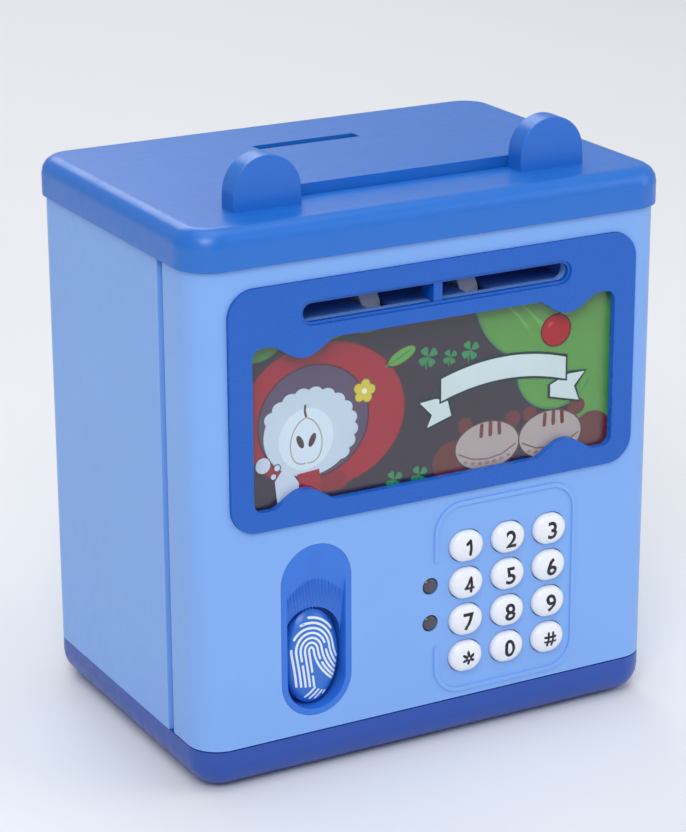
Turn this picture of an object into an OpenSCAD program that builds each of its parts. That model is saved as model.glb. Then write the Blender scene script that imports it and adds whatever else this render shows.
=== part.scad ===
// Toy cash-machine savings bank. A box body holds the money, and a hinged front door
// carries the keypad, the finger pad, the picture window and the bank-note feeder.
// Millimetres, +Z up, the door faces -Y, origin under the middle of the object.

/* [Body] */
// Width of the body, side to side
body_w = 152; // [140:1:184]
// Depth of the body, from the door's face to the back
body_d = 106; // [96:1:130]
// Height of the body's top edge above the table
body_top = 154.6; // [154:0.2:190]
// Wall thickness of the body, the door and the cap
wall = 2.4; // [2:0.1:3]
// Radius of the upright corners
corner_r = 9.5; // [8:0.5:12]
// Gap between pieces that move past each other
gap = 0.4; // [0.3:0.05:0.6]

/* [Base] */
// Height of the base's top face above the table
base_h = 13; // [12:0.5:18]
// How far the base's skirt curves in at the bottom
base_lean = 8; // [4:0.5:9]
// Diameter of a foot pad
foot_dia = 12; // [8:1:16]
// How far a foot pad stands out below the base
foot_proud = 0.6; // [0.4:0.1:1]
// Thickness of a foot pad
foot_t = 1.6; // [1.2:0.1:2]

/* [Cap] */
// Height of the cap above the body
cap_h = 11.4; // [9:0.2:15]
// How far the cap stands out past the body
cap_over = 1.2; // [0.6:0.1:2]
// Width of an ear
ear_w = 21; // [16:0.5:26]
// Height of an ear above the cap
ear_h = 15; // [11:0.5:18]
// Thickness of an ear, front to back
ear_t = 7; // [5:0.5:9]
// Distance from the middle to an ear's middle
ear_x = 46; // [34:1:52]
// Distance from the door's face to an ear's front
ear_set = 14; // [12:1:18]
// Width of the groove that holds a photo print
groove_w = 1.6; // [1.2:0.1:2]
// Length of the coin slot
coin_l = 34; // [28:1:40]
// Width of the coin slot
coin_w = 4.8; // [4.6:0.1:6]
// Distance from the back face to the coin slot
coin_back = 28; // [20:1:36]

/* [Door] */
// Depth of the door, from its face to the seam
door_d = 18; // [17:0.5:20]
// How far the door's inner cover reaches behind the door's face
cover_d = 35; // [35:0.5:38]
// Radius of the hinge barrel
barrel_r = 3; // [3:0.1:3.6]
// Radius of a hinge pin
pin_r = 1.5; // [1.2:0.1:1.7]
// Radial clearance of a pin or shaft that turns
run_fit = 0.05; // [0.03:0.01:0.08]

/* [Panel and screen] */
// Margin from the body's side to the panel's edge
panel_margin = 10; // [9:0.5:14]
// Distance from the body's top edge to the panel's top
panel_drop = 6.1; // [4:0.1:9]
// Height of the panel
panel_h = 70.4; // [68:0.2:76]
// How far the panel stands out of the door
panel_proud = 1; // [0.6:0.1:1.4]
// Width of the panel's frame beside the screen
frame_side = 7; // [5:0.5:9]
// Width of the panel's frame below the screen
frame_low = 5.7; // [5:0.1:7]
// Height of the screen opening
screen_h = 47.7; // [44:0.1:50]
// Height of a bump on the screen's edge
bump_h = 4.6; // [3:0.1:5.5]
// Width of a bump at its foot
bump_w = 19.5; // [12:0.5:20]
// Distance from the middle to a bump
bump_x = 43; // [38:0.5:46]
// Thickness of the clear window
window_t = 1.2; // [1:0.1:1.4]
// Thickness of the picture card
card_t = 0.3; // [0.2:0.05:0.4]

/* [Bill slot and feeder] */
// Length of the bill slot
slot_l = 86; // [78:1:90]
// Height of the bill slot
slot_h = 5.4; // [5:0.1:6]
// Distance from the panel's top to the slot's middle
slot_drop = 9.3; // [8.5:0.1:10]
// Radius of a feed roller
roller_r = 6.5; // [5.5:0.1:7]
// Width of a feed roller
roller_w = 6.4; // [5:0.2:8]
// Distance from the middle to a feed roller's middle
roller_x = 16; // [12:0.5:22]
// Distance from the door's face to the feed rollers' fronts
roller_set = 9.4; // [9:0.1:11]
// Radius of a pressure roller
press_r = 4; // [3.4:0.1:4.2]
// Gap between a feed roller and its pressure roller
nip = 0.4; // [0.3:0.05:0.6]
// Teeth of the gear on the feed shaft
feed_teeth = 24; // [22:1:26]
// Teeth of the pinion on the feed motor
motor_teeth = 10; // [10:1:12]
// Gear module of the feeder
feed_mod = 0.8; // [0.7:0.05:0.85]

/* [Keypad] */
// Middle of the keypad's middle column, right of the door's middle
pad_x = 24; // [20:0.5:26]
// Height of the lowest key row above the base's top face
pad_z = 13.4; // [11:0.1:20]
// Distance between key columns
key_dx = 14.2; // [13.4:0.1:15]
// Distance between key rows
key_dz = 11.57; // [11.4:0.01:13]
// Width of a key
key_w = 10.8; // [9.6:0.1:11.6]
// Height of a key
key_h = 9.3; // [8:0.1:9.8]
// How far a key stands out of the door
key_proud = 3; // [2:0.1:4]
// Travel of a key
key_travel = 1.2; // [0.8:0.1:1.4]
// Diameter of a status light
led_dia = 5; // [3:0.5:5]

/* [Finger pad] */
// Middle of the finger channel, left of the door's middle
finger_x = 39.3; // [36:0.1:42]
// Width of the finger channel
finger_w = 22.6; // [20:0.1:24]
// Height of the finger channel
finger_h = 52.6; // [48:0.1:56]
// Height of the channel's lower end above the base's top face
finger_z = 5.4; // [4:0.1:8]
// Width of the rim between the channel's edge and the well
finger_rim = 1.9; // [1.5:0.1:2.5]
// Height of the well that holds the pad
well_h = 30; // [26:0.5:32]
// Travel of the finger pad
finger_travel = 1.5; // [1:0.1:1.6]

/* [Latch] */
// Teeth of the latch gear
latch_teeth = 12; // [10:1:13]
// Gear module of the latch
latch_mod = 1; // [0.9:0.05:1.1]
// Height of the latch bolt above the base's top face
latch_z = 32; // [29:0.5:40]

/* [Battery bay and speaker] */
// Diameter of a battery cell
cell_dia = 14.5; // [10.5:0.5:14.5]
// Length of a battery cell
cell_l = 50.5; // [44.5:0.5:50.5]
// Number of battery cells
cells = 3; // [2:1:3]
// Diameter of the loudspeaker
speaker_dia = 36; // [28:1:36]

/* [Hidden] */
$fn = 48;
eps = 0.01;
KEYS = ["key_1", "key_2", "key_3", "key_4", "key_5", "key_6",
        "key_7", "key_8", "key_9", "key_star", "key_0", "key_hash"];

// Where the main planes lie
front_reach = max(key_proud, cap_over);
face_y = (front_reach - cap_over - body_d) / 2;
back_y = face_y + body_d;
mid_y = (face_y + back_y) / 2;
seam_y = face_y + door_d;
cover_y = face_y + cover_d;
side_x = body_w / 2;
door_z0 = base_h + gap;
door_z1 = body_top - gap;

// Limits of the door cover's bulge
cover_x0 = -side_x + 14;
cover_x1 = side_x - 12;
cover_z0 = door_z0 + wall + 2.2;
cover_z1 = door_z1 - wall - 0.8;

// Screws and their bosses, and thin plates
screw_r = 1.2;
head_r = 2.4;
head_t = 1.5;
boss_r = 3.4;
boss_fit = 0.05;
slip = 0.2;
plate_t = 1.6;

// Hinge
hinge_x = -side_x + barrel_r;
pin_l = 11;
pin_in = 6;
hinge_room = 4.2;

// Base, held to the body by long screws through the bottom plate
deck_t = 2.4;
base_z0 = foot_proud;
bottom_t = 3;
skirt_band = 4.4;
plate_in = base_lean + 2.5;
column_r = 4;
low_boss_h = 14;
low_in = 17;
LOW_BOSSES = [for (x = [-1, 1], y = [cover_y + 16.5, back_y - 30]) [x * (side_x - low_in), y]];
feet_in = 23;
FEET = [for (x = [-1, 1], y = [-1, 1]) [x * (side_x - feet_in), mid_y + y * (body_d / 2 - feet_in)]];

// Cap
cap_top = body_top + cap_h;
cap_edge = 5;
rim_h = 3;
peg_l = 8;
peg_r = 1.7;
top_boss_h = 12;
top_in = 5.4;
TOP_BOSSES = [for (x = [-1, 1], y = [seam_y + 12.5, back_y - 9]) [x * (side_x - top_in), y]];
dome_fn = 32;
ear_y = face_y + ear_set;
groove_y = ear_y + ear_t + 0.4;
groove_l = 2 * ear_x + ear_w - 6;
groove_deep = 1.2;
rib_h = 3;
rib_t = 2.2;

// Panel, screen and slot
panel_w = body_w - 2 * panel_margin;
panel_z1 = body_top - panel_drop;
panel_z0 = panel_z1 - panel_h;
panel_r = 8;
panel_in = 1.2;
screen_w = panel_w - 2 * frame_side;
screen_z0 = panel_z0 + frame_low;
screen_z1 = screen_z0 + screen_h;
screen_r = 3;
bump_round = 0.65;
glass_lap = 2;
glass_y = face_y + panel_in;
card_y = glass_y + window_t;
backing_y = card_y + card_t + 0.1;
backing_t = 1.6;
slot_z = panel_z1 - slot_drop;
bevel_w = 0.9;
bevel_deep = 0.7;
divider_w = 2.8;
divider_l = 6.5;

// Keypad
key_flange_t = 1.2;
key_flange_w = 1.1;
key_fn = 24;
// Depth behind the front and how far in, for each step of the dome
KEY_DOME = [[0, 3], [0.5, 1.5], [1.4, 0.3], [2.2, 0]];
membrane_dome_r = 3.4;
key_stop = 0.3;
key_fit = 0.3;
key_post_r = 2;
flange_y = face_y + wall + key_stop;
post_y = flange_y + key_flange_t + 0.7;
dome_y = post_y + key_travel + 0.2;
dome_t = 1;
sheet_t = 1;
board_y = dome_y + dome_t + sheet_t;
board_t = 1.6;
row_z = base_h + pad_z;
pad_mid_z = row_z + 1.5 * key_dz;
pad_w = 3 * key_dx;
pad_h = 4 * key_dz;
ridge_w = 1.2;
ridge_h = 0.5;
ridge_x0 = pad_x - 24.6;
ridge_x1 = pad_x + 23.7;
ridge_z0 = row_z - 11;
ridge_z1 = row_z + 3 * key_dz + 13.9;
ridge_r = 9;
led_x = pad_x - 25.85;
led_fit = 0.1;
led_proud = 0.3;
led_rim = 0.4;
led_lead_r = 0.3;
led_lead_x = 1.27;
LED_Z = [row_z + 24.1, row_z + 12.5];
BOARD_POSTS = [for (x = [pad_x - 31.5, pad_x + 25.5], z = [row_z - 6, row_z + 3 * key_dz + 7]) [x, z]];

// Finger channel and pad
finger_z0 = base_h + finger_z;
finger_z1 = finger_z0 + finger_h;
well_w = finger_w - 2 * finger_rim;
well_z = finger_z0 + finger_rim + well_h / 2;
well_deep = 8;
channel_deep = 4;
channel_r = 22;
channel_drop = 1.6;
insert_fit = 0.1;
insert_lip = 1.8;
insert_lip_t = 1.4;
pad_fit = 0.6;
pad_in = 1;
pad_t = 5;
// Depth behind the front and how far in, for each step of the dome
PAD_DOME = [[0, 3.2], [0.35, 1.2], [1.4, 0]];
pad_stem_r = 3.1;
pad_clip_r = 4.4;
pad_clip_t = 0.9;
floor_t = 1.6;
clip_y = face_y + well_deep + floor_t + 0.3;
switch_y = clip_y + pad_clip_t + finger_travel + 0.2;
switch_t = 2.4;
switch_w = 6;
sensor_t = 1.2;
sensor_peg_r = 2.2;
sensor_peg_in = 3;
sensor_y = switch_y + 0.8 + switch_t;

// Feeder
roll_y = face_y + roller_set + roller_r;
roll_z = slot_z + 0.3 - roller_r;
press_z = roll_z + roller_r + nip + press_r;
shaft_r = 1.5;
cheek_x = slot_l / 2 + 3;
cheek_t = 2.4;
feed_y0 = backing_y + backing_t + 0.3;
feed_y1 = cover_y - wall - 1.4;
feed_tab_y = face_y + 10.4;
feed_tab_t = 2;
feed_y2 = roll_y + 10;
cheek_z0 = roll_z - 8;
motor_wall_in = 6;
window_gap = 0.9;
feed_floor_z = slot_z - slot_h / 2 - 0.3;
feed_top_z = slot_z + slot_h / 2 + 0.3;
feed_z1 = cover_z1 - wall - 0.3;
mesh_d = (feed_teeth + motor_teeth) * feed_mod / 2;
mesh_a = -58;
motor_y = roll_y + mesh_d * cos(mesh_a);
motor_z = roll_z + mesh_d * sin(mesh_a);
motor_r = 10;
motor_flat = 7.5;
motor_l = 25;
motor_hub_r = 3;
gear_x = cheek_x + cheek_t / 2 + 1;
gear_w = 4;
backlash = 0.24;
motor_shaft_r = 1;
FEED_TABS = [for (x = [-1, 1]) [x * (cheek_x - 6), feed_top_z + plate_t + boss_r + 0.2]];

// Latch
latch_r = latch_teeth * latch_mod / 2;
bolt_z = base_h + latch_z;
bolt_h = 6.2;
bolt_t = 4;
lip_t = 2.4;
lip_y = seam_y + 0.6;
lip_in = 7.1;
strike_t = 1;
strike_y = lip_y + lip_t;
bolt_y = strike_y + strike_t + 0.4;
bolt_x1 = cover_x1 - 0.4;
bolt_x0 = bolt_x1 - 29;
rack_x = bolt_x0 + 11;
rack_pitch = PI * latch_mod;
rack_z = bolt_z + bolt_h + 1.2 * latch_mod;
latch_gear_z = rack_z + latch_r;
latch_plate_t = 1.2;
latch_plate_y = bolt_y - 0.4 - latch_plate_t;
latch_shaft_r = 1.2;
latch_motor_w = 16;
latch_motor_l = 9;
latch_x0 = bolt_x0 - 2;
latch_x1 = cover_x1 - wall - 0.3;
latch_z1 = latch_gear_z + latch_motor_w / 2 + 6.2;
guide_w = 3.4;
rail_t = 1.8;
bolt_fit = 0.2;
LATCH_TABS = [for (x = [latch_x0 + 4, latch_x1 - 4]) [x, latch_z1 - 3.2]];
strike_x = side_x - wall - lip_in / 2 - 0.2;
strike_zm = bolt_z + bolt_h / 2;
strike_h = 26;
strike_step = 9;

// Door cover
cover_flange_t = 2;
flange_x0 = hinge_x + barrel_r + 0.6;
flange_x1 = side_x - wall - 0.3;
bill_exit_drop = 7;
COVER_POSTS = [for (x = [cover_x0 - 4, cover_x1 + 5.4], z = [door_z0 + 9, (door_z0 + door_z1) / 2 - 6,
    door_z1 - 9]) [x, z]];

// Battery bay, in the lower half of the door cover
bay_x0 = cover_x0 + 4;
bay_l = cell_l + 4.5;
bay_x1 = bay_x0 + bay_l;
bay_z0 = cover_z0 + 5;
bay_h = cells * cell_dia + 2;
bay_z1 = bay_z0 + bay_h;
bay_wall = 1.2;
lid_t = 1.8;
lid_tail = 9;
lid_fit = 0.3;
lid_lap = 2;
bay_y0 = cover_y - lid_t - cell_dia - 0.3;
lid_screw = [bay_x1 + lid_tail - 4, (bay_z0 + bay_z1) / 2];

// Loudspeaker, above the battery bay
speaker_x = -26;
clamp_w = 2.4;
speaker_posts = speaker_dia / 2 + 4.2;
SPEAKER_TABS = [for (a = [90, 210, 330]) speaker_posts * [cos(a), sin(a)]];
speaker_z = bay_z1 + speaker_dia / 2 + 7;
speaker_l = 10;
speaker_y1 = cover_y - wall - 0.2;
grille_r = 1.1;
grille_step = 4.2;

// ---- shapes drawn flat

module rounded(w, h, r) {
    square([w - 2 * r, h], center = true);
    square([w, h - 2 * r], center = true);
    for (x = [-1, 1], y = [-1, 1])
        translate([x * (w / 2 - r), y * (h / 2 - r)]) circle(r);
}

// A rectangle from its limits, with rounded corners
module between(x0, x1, z0, z1, r = 1) {
    translate([(x0 + x1) / 2, (z0 + z1) / 2]) rounded(x1 - x0, z1 - z0, r);
}

// An oval
module oval(w, h) { scale([w / h, 1]) circle(h / 2); }

// An upright or level capsule
module capsule(w, h) {
    r = min(w, h) / 2;
    square([max(w - 2 * r, eps), max(h - 2 * r, eps)] + (w > h ? [0, 2 * r] : [2 * r, 0]), center = true);
    for (s = [-1, 1])
        translate(w > h ? [s * (w / 2 - r), 0] : [0, s * (h / 2 - r)]) circle(r);
}

module body_plan(inset = 0) {
    translate([0, mid_y])
        rounded(body_w - 2 * inset, body_d - 2 * inset, corner_r - inset);
}

// The outline of one bump: a round top that eases down to its foot on both sides
module bump() {
    steps = 12;
    wave = [for (i = [-steps:steps]) [bump_w / 2 * i / steps,
        bump_h * pow((1 + cos(180 * i / steps)) / 2, bump_round)]];
    polygon(concat([[-bump_w / 2, -1]], wave, [[bump_w / 2, -1]]));
}

module screen_hole() {
    difference() {
        between(-screen_w / 2, screen_w / 2, screen_z0, screen_z1, screen_r);
        for (s = [-1, 1]) {
            translate([s * bump_x, screen_z0]) bump();
            translate([s * bump_x, screen_z1]) mirror([0, 1]) bump();
        }
    }
}

// The outline of a spur gear with involute flanks, one tooth pointing along +X
module gear(n, m) {
    pitch = n * m / 2;
    base = pitch * cos(20);
    tip = pitch + 0.85 * m;
    root = pitch - 1.2 * m;
    half = 90 / n + (tan(20) * 180 / PI - 20) - backlash / pitch * 90 / PI;
    roll = sqrt(pow(tip / base, 2) - 1);
    steps = 4;
    flank = concat([[root, half]], [for (i = [0:steps]) let (a = roll * i / steps)
        [base * sqrt(1 + a * a), half - (a * 180 / PI - atan(a))]]);
    last = len(flank) - 1;
    polygon([for (k = [0 : n - 1], j = [0 : 2 * last + 1])
        let (p = j <= last ? [flank[j][0], -flank[j][1]] : flank[2 * last + 1 - j], a = 360 * k / n + p[1])
        p[0] * [cos(a), sin(a)]]);
}

// ---- ways to give a flat shape its thickness

module upright(z0, z1) {
    translate([0, 0, z0]) linear_extrude(z1 - z0) children();
}

// Drawn as seen from the front, running from y0 back to y1
module facing(y0, y1) {
    translate([0, y1, 0]) rotate([90, 0, 0]) linear_extrude(y1 - y0) children();
}

// Drawn in Y and Z, running from x0 to x1
module across(x0, x1) {
    translate([x0, 0, 0]) rotate([90, 0, 90]) linear_extrude(x1 - x0) children();
}

module block(x0, x1, y0, y1, z0, z1) {
    translate([x0, y0, z0]) cube([x1 - x0, y1 - y0, z1 - z0]);
}

// A pan-head screw along +Z: the head's flat at z = 0, the shank below it
module screw(l) {
    translate([0, 0, -l]) cylinder(h = l + eps, r = screw_r);
    difference() {
        cylinder(h = head_t, r = head_r);
        for (a = [0, 90]) rotate(a) translate([-1.5, -0.3, head_t - 0.7]) cube([3, 0.6, 1]);
    }
}

// The same screw driven from behind the door, towards the front
module screw_from_back(x, y, z, l) {
    translate([x, y, z]) rotate([-90, 0, 0]) screw(l);
}

// ---- body

module body_shell() color("#82aeea") difference() {
    inner = side_x - wall;
    union() {
        difference() {
            upright(base_h, body_top) body_plan();
            upright(base_h - 1, body_top + 1) body_plan(wall);
            block(-side_x - 1, 0, face_y - 1, seam_y + hinge_room, base_h - 1, body_top + 1);
            block(-1, side_x + 1, face_y - 1, seam_y + gap, base_h - 1, body_top + 1);
        }
        block(inner - lip_in, inner + eps, lip_y, lip_y + lip_t, base_h, body_top);
        block(-inner - eps, -inner + lip_in, seam_y + hinge_room, seam_y + hinge_room + lip_t,
            base_h, body_top);
        for (p = LOW_BOSSES) {
            translate([p[0], p[1], base_h]) cylinder(h = low_boss_h, r = boss_r);
            rib_x = sign(p[0]) * (side_x - wall / 2);
            block(min(p[0], rib_x), max(p[0], rib_x), p[1] - 1, p[1] + 1, base_h, base_h + low_boss_h);
        }
        for (p = TOP_BOSSES) translate([p[0], p[1], body_top - top_boss_h])
            cylinder(h = top_boss_h, r = boss_r);
    }
    for (p = LOW_BOSSES) translate([p[0], p[1], base_h - 1])
        cylinder(h = low_boss_h - 1, r = screw_r + boss_fit);
    for (p = TOP_BOSSES) translate([p[0], p[1], body_top - peg_l - 1])
        cylinder(h = peg_l + 2, r = peg_r + boss_fit);
    for (s = [-1, 1]) facing(lip_y - 1, lip_y + lip_t + 1)
        translate([strike_x, strike_zm + s * strike_step]) circle(screw_r + boss_fit);
}

module strike_plate() color("silver") facing(strike_y, strike_y + strike_t) difference() {
    between(strike_x - lip_in / 2 + 0.4, strike_x + lip_in / 2 - 0.2,
        strike_zm - strike_h / 2, strike_zm + strike_h / 2);
    for (s = [-1, 1]) translate([strike_x, strike_zm + s * strike_step]) circle(screw_r + boss_fit);
}

module strike_screws() color("silver") {
    for (s = [-1, 1])
        screw_from_back(strike_x, strike_y + strike_t, strike_zm + s * strike_step, strike_t + lip_t);
}

// ---- base

// The skirt stands upright at the top and curves in under the body
module skirt() {
    curve_h = base_h - base_z0 - skirt_band;
    upright(base_z0 + curve_h - eps, base_h) body_plan();
    hull() {
        for (a = [0 : 15 : 90]) translate([0, 0, base_z0 + curve_h * (1 - sin(a))])
            linear_extrude(eps) body_plan(base_lean * (1 - cos(a)), $fn = dome_fn);
    }
}

module bottom_outline(grow = 0) {
    translate([0, mid_y])
        rounded(body_w - 2 * plate_in + 2 * grow, body_d - 2 * plate_in + 2 * grow, 5);
}

module base() color("#2450a8") difference() {
    skirt();
    difference() {
        upright(base_z0 + bottom_t, base_h - deck_t) bottom_outline(-2);
        for (p = LOW_BOSSES) translate([p[0], p[1], 0]) cylinder(h = base_h, r = column_r);
    }
    upright(base_z0 - 1, base_z0 + bottom_t + eps) bottom_outline(slip);
    for (p = LOW_BOSSES) translate([p[0], p[1], 0]) cylinder(h = base_h + 1, r = screw_r + slip);
    translate([hinge_x, seam_y, base_h - pin_in]) cylinder(h = pin_in + 1, r = pin_r + run_fit);
}

module bottom_plate() color("#2450a8") difference() {
    upright(base_z0, base_z0 + bottom_t) bottom_outline();
    for (p = FEET) translate([p[0], p[1], -1]) cylinder(h = 1 + foot_t, r = foot_dia / 2 + boss_fit);
    for (p = LOW_BOSSES) translate([p[0], p[1], 0]) {
        cylinder(h = base_h, r = screw_r + slip);
        cylinder(h = base_z0 + head_t, r = head_r + slip);
    }
}

module foot_pads() color("#22262c") {
    for (p = FEET) translate([p[0], p[1], 0]) cylinder(h = foot_t, r = foot_dia / 2);
}

module base_screws() color("silver") {
    for (p = LOW_BOSSES) translate([p[0], p[1], base_z0 + head_t])
        mirror([0, 0, 1]) screw(base_h - base_z0 + low_boss_h - 6);
}

// ---- cap

module cap_block() {
    shoulder = cap_top - cap_edge;
    upright(body_top, shoulder + eps) body_plan(-cap_over);
    hull() {
        for (a = [0 : 22.5 : 90]) translate([0, 0, shoulder + (cap_edge - eps) * sin(a)])
            linear_extrude(eps) body_plan(-cap_over + cap_edge * (1 - cos(a)), $fn = dome_fn);
    }
}

module ear() {
    r = ear_w / 2;
    facing(ear_y, ear_y + ear_t) {
        translate([0, cap_top + ear_h - r]) circle(r);
        translate([-r, cap_top - 1]) square([ear_w, ear_h - r + 1]);
    }
}

module top_cap() color("#2f7fd0") difference() {
    roof = cap_top - wall;
    union() {
        difference() {
            cap_block();
            upright(body_top - 1, roof) body_plan(wall);
        }
        for (s = [-1, 1]) translate([s * ear_x, 0, 0]) ear();
        block(-groove_l / 2, groove_l / 2, groove_y + groove_w, groove_y + groove_w + rib_t,
            cap_top - 1, cap_top + rib_h);
        intersection() {
            upright(body_top, body_top + plate_t) body_plan(wall - eps);
            block(-side_x, side_x, face_y, seam_y, body_top - 1, cap_top);
        }
        intersection() {
            upright(body_top, roof + eps) body_plan();
            translate([hinge_x, seam_y, body_top]) cylinder(h = cap_h, r = barrel_r + 1.6);
        }
        for (p = TOP_BOSSES) {
            translate([p[0], p[1], body_top]) cylinder(h = roof - body_top + eps, r = boss_r);
            translate([p[0], p[1], body_top - peg_l]) cylinder(h = peg_l + eps, r = peg_r);
        }
        difference() {
            upright(body_top - rim_h, body_top + eps) body_plan(wall + slip);
            upright(body_top - rim_h - 1, body_top + 1) body_plan(wall + slip + plate_t);
            block(-side_x, side_x, face_y - 1, seam_y + 17, base_h, cap_top);
            for (p = TOP_BOSSES) translate([p[0], p[1], body_top - rim_h - 1])
                cylinder(h = rim_h + 1, r = boss_r + slip);
        }
    }
    block(-groove_l / 2, groove_l / 2, groove_y, groove_y + groove_w, cap_top - groove_deep,
        cap_top + rib_h + 1);
    block(-coin_l / 2, coin_l / 2, back_y - coin_back - coin_w / 2, back_y - coin_back + coin_w / 2,
        body_top, cap_top + 1);
    translate([hinge_x, seam_y, body_top - 1]) cylinder(h = pin_in + 1, r = pin_r + run_fit);
}

// ---- door

function key_x(i) = pad_x + (i % 3 - 1) * key_dx;
function key_z(i) = row_z + (3 - floor(i / 3)) * key_dz;

module panel_outline(grow = 0) {
    between(-panel_w / 2 - grow, panel_w / 2 + grow, panel_z0 - grow, panel_z1 + grow, panel_r + grow);
}

module glass_outline(grow = 0) {
    lap = glass_lap + grow;
    between(-screen_w / 2 - lap, screen_w / 2 + lap, screen_z0 - lap, screen_z1 + lap, screen_r);
}

module finger_outline(grow = 0) {
    translate([-finger_x, (finger_z0 + finger_z1) / 2]) capsule(finger_w + 2 * grow, finger_h + 2 * grow);
}

module keypad_ridge() difference() {
    between(ridge_x0, ridge_x1, ridge_z0, ridge_z1, ridge_r);
    between(ridge_x0 + ridge_w, ridge_x1 - ridge_w, ridge_z0 + ridge_w, ridge_z1 - ridge_w,
        ridge_r - ridge_w);
    translate([ridge_x0 - 1, LED_Z[1] - 7.8]) square([ridge_w + 2, LED_Z[0] - LED_Z[1] + 15]);
}

module door_tray() {
    difference() {
        intersection() {
            upright(door_z0, door_z1) body_plan();
            block(-side_x, side_x, face_y - 1, seam_y, door_z0, door_z1);
        }
        intersection() {
            upright(door_z0 + wall, door_z1 - wall) body_plan(wall);
            block(-side_x, side_x, face_y, seam_y + 1, door_z0, door_z1);
        }
    }
    translate([hinge_x, seam_y, door_z0]) cylinder(h = door_z1 - door_z0, r = barrel_r);
}

module front_door() color("#82aeea") difference() {
    inner_y = face_y + wall - eps;
    union() {
        door_tray();
        facing(inner_y, backing_y + backing_t) panel_outline(0.5);
        facing(face_y - ridge_h, face_y + eps) keypad_ridge();
        for (p = BOARD_POSTS) facing(inner_y, board_y) translate(p) circle(boss_r);
        for (p = COVER_POSTS) facing(inner_y, seam_y - cover_flange_t) translate(p) circle(boss_r);
        for (p = FEED_TABS) facing(inner_y, feed_tab_y) translate(p) circle(boss_r);
    }
    facing(face_y - 1, glass_y) panel_outline(insert_fit);
    facing(glass_y - eps, backing_y) glass_outline(insert_fit);
    facing(face_y - 1, backing_y + backing_t + 1) translate([0, slot_z]) capsule(slot_l + 1, slot_h + 0.6);
    facing(face_y - 1, seam_y) finger_outline();
    for (i = [0:11]) facing(face_y - 1, face_y + wall + 1)
        translate([key_x(i), key_z(i)]) capsule(key_w + 2 * key_fit, key_h + 2 * key_fit);
    for (z = LED_Z) facing(face_y - 1, face_y + wall + 1)
        translate([led_x, z]) circle(led_dia / 2 + led_fit);
    for (p = BOARD_POSTS) facing(face_y + wall, board_y + 1) translate(p) circle(screw_r + boss_fit);
    for (p = COVER_POSTS) facing(seam_y - cover_flange_t - 9, seam_y) translate(p)
        circle(screw_r + boss_fit);
    for (p = FEED_TABS) facing(backing_y + 0.8, feed_tab_y + 1) translate(p) circle(screw_r + boss_fit);
    for (z = [door_z0 - 1, door_z1 - pin_l + pin_in]) translate([hinge_x, seam_y, z])
        cylinder(h = pin_l - pin_in + 1, r = pin_r);
}

module hinge_pins() color("silver") {
    for (z = [door_z0 - pin_in + 1, door_z1 - pin_l + pin_in]) translate([hinge_x, seam_y, z])
        cylinder(h = pin_l - 1, r = pin_r);
}

module face_panel() color("#2468cc") {
    facing(face_y - panel_proud, glass_y) difference() {
        panel_outline();
        screen_hole();
        translate([0, slot_z]) capsule(slot_l + 2 * bevel_w, slot_h + 2 * bevel_w);
    }
    facing(face_y - panel_proud + bevel_deep, glass_y) translate([0, slot_z]) difference() {
        capsule(slot_l + 2 * bevel_w + eps, slot_h + 2 * bevel_w + eps);
        capsule(slot_l, slot_h);
    }
    block(-divider_w / 2, divider_w / 2, face_y, face_y + divider_l,
        slot_z - slot_h / 2 - 0.1, slot_z + slot_h / 2 + 0.1);
}

module screen_window() color("#dfe9f2", 0.3) facing(glass_y, card_y) glass_outline();

module picture_card() color("#4a3540") facing(card_y, card_y + card_t) glass_outline();

// ---- finger channel and pad

module finger_channel() color("#2f6bcb") difference() {
    top_z = finger_z1 - channel_drop;
    slope_a = atan(channel_deep / (top_z - well_z - well_h / 2));
    floor_y = face_y + well_deep + floor_t;
    union() {
        facing(face_y, floor_y) finger_outline(-insert_fit);
        facing(face_y + wall + boss_fit, face_y + wall + insert_lip_t) finger_outline(insert_lip);
        for (s = [-1, 1]) facing(floor_y - eps, sensor_y)
            translate([-finger_x, well_z + s * (well_h / 2 - sensor_peg_in)]) circle(sensor_peg_r);
    }
    // A hollow that starts under the channel's top and deepens down to the well
    intersection() {
        translate([-finger_x, face_y, top_z]) rotate([slope_a, 0, 0])
            translate([0, -channel_r, well_z - top_z])
                cylinder(h = top_z - well_z + channel_r, r = channel_r);
        facing(face_y - 1, floor_y) finger_outline(-finger_rim);
    }
    facing(face_y - 1, face_y + well_deep) translate([-finger_x, well_z]) capsule(well_w, well_h);
    facing(face_y, floor_y + 1) translate([-finger_x, well_z]) circle(pad_stem_r + run_fit);
}

module finger_pad() color("#3576d6") translate([-finger_x, 0, well_z]) {
    w = well_w - 2 * pad_fit;
    h = well_h - 2 * pad_fit;
    front = face_y + pad_in;
    hull() {
        for (k = PAD_DOME) facing(front + k[0], front + k[0] + eps)
            oval(w - 2 * k[1], h - 2 * k[1], $fn = dome_fn);
        facing(front + pad_t - eps, front + pad_t) oval(w, h, $fn = dome_fn);
    }
    facing(front + pad_t - eps, clip_y + pad_clip_t) circle(pad_stem_r);
    facing(clip_y, clip_y + pad_clip_t) circle(pad_clip_r);
}

module finger_switch() color("#26282c") translate([-finger_x, 0, well_z]) {
    facing(switch_y, switch_y + 1) circle(switch_w / 4);
    facing(switch_y + 0.8, sensor_y) square(switch_w, center = true);
}

module sensor_board() color("#2e7d46") facing(sensor_y, sensor_y + sensor_t)
    translate([-finger_x, well_z]) rounded(finger_w, well_h - 1, 1);

// ---- keypad

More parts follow.
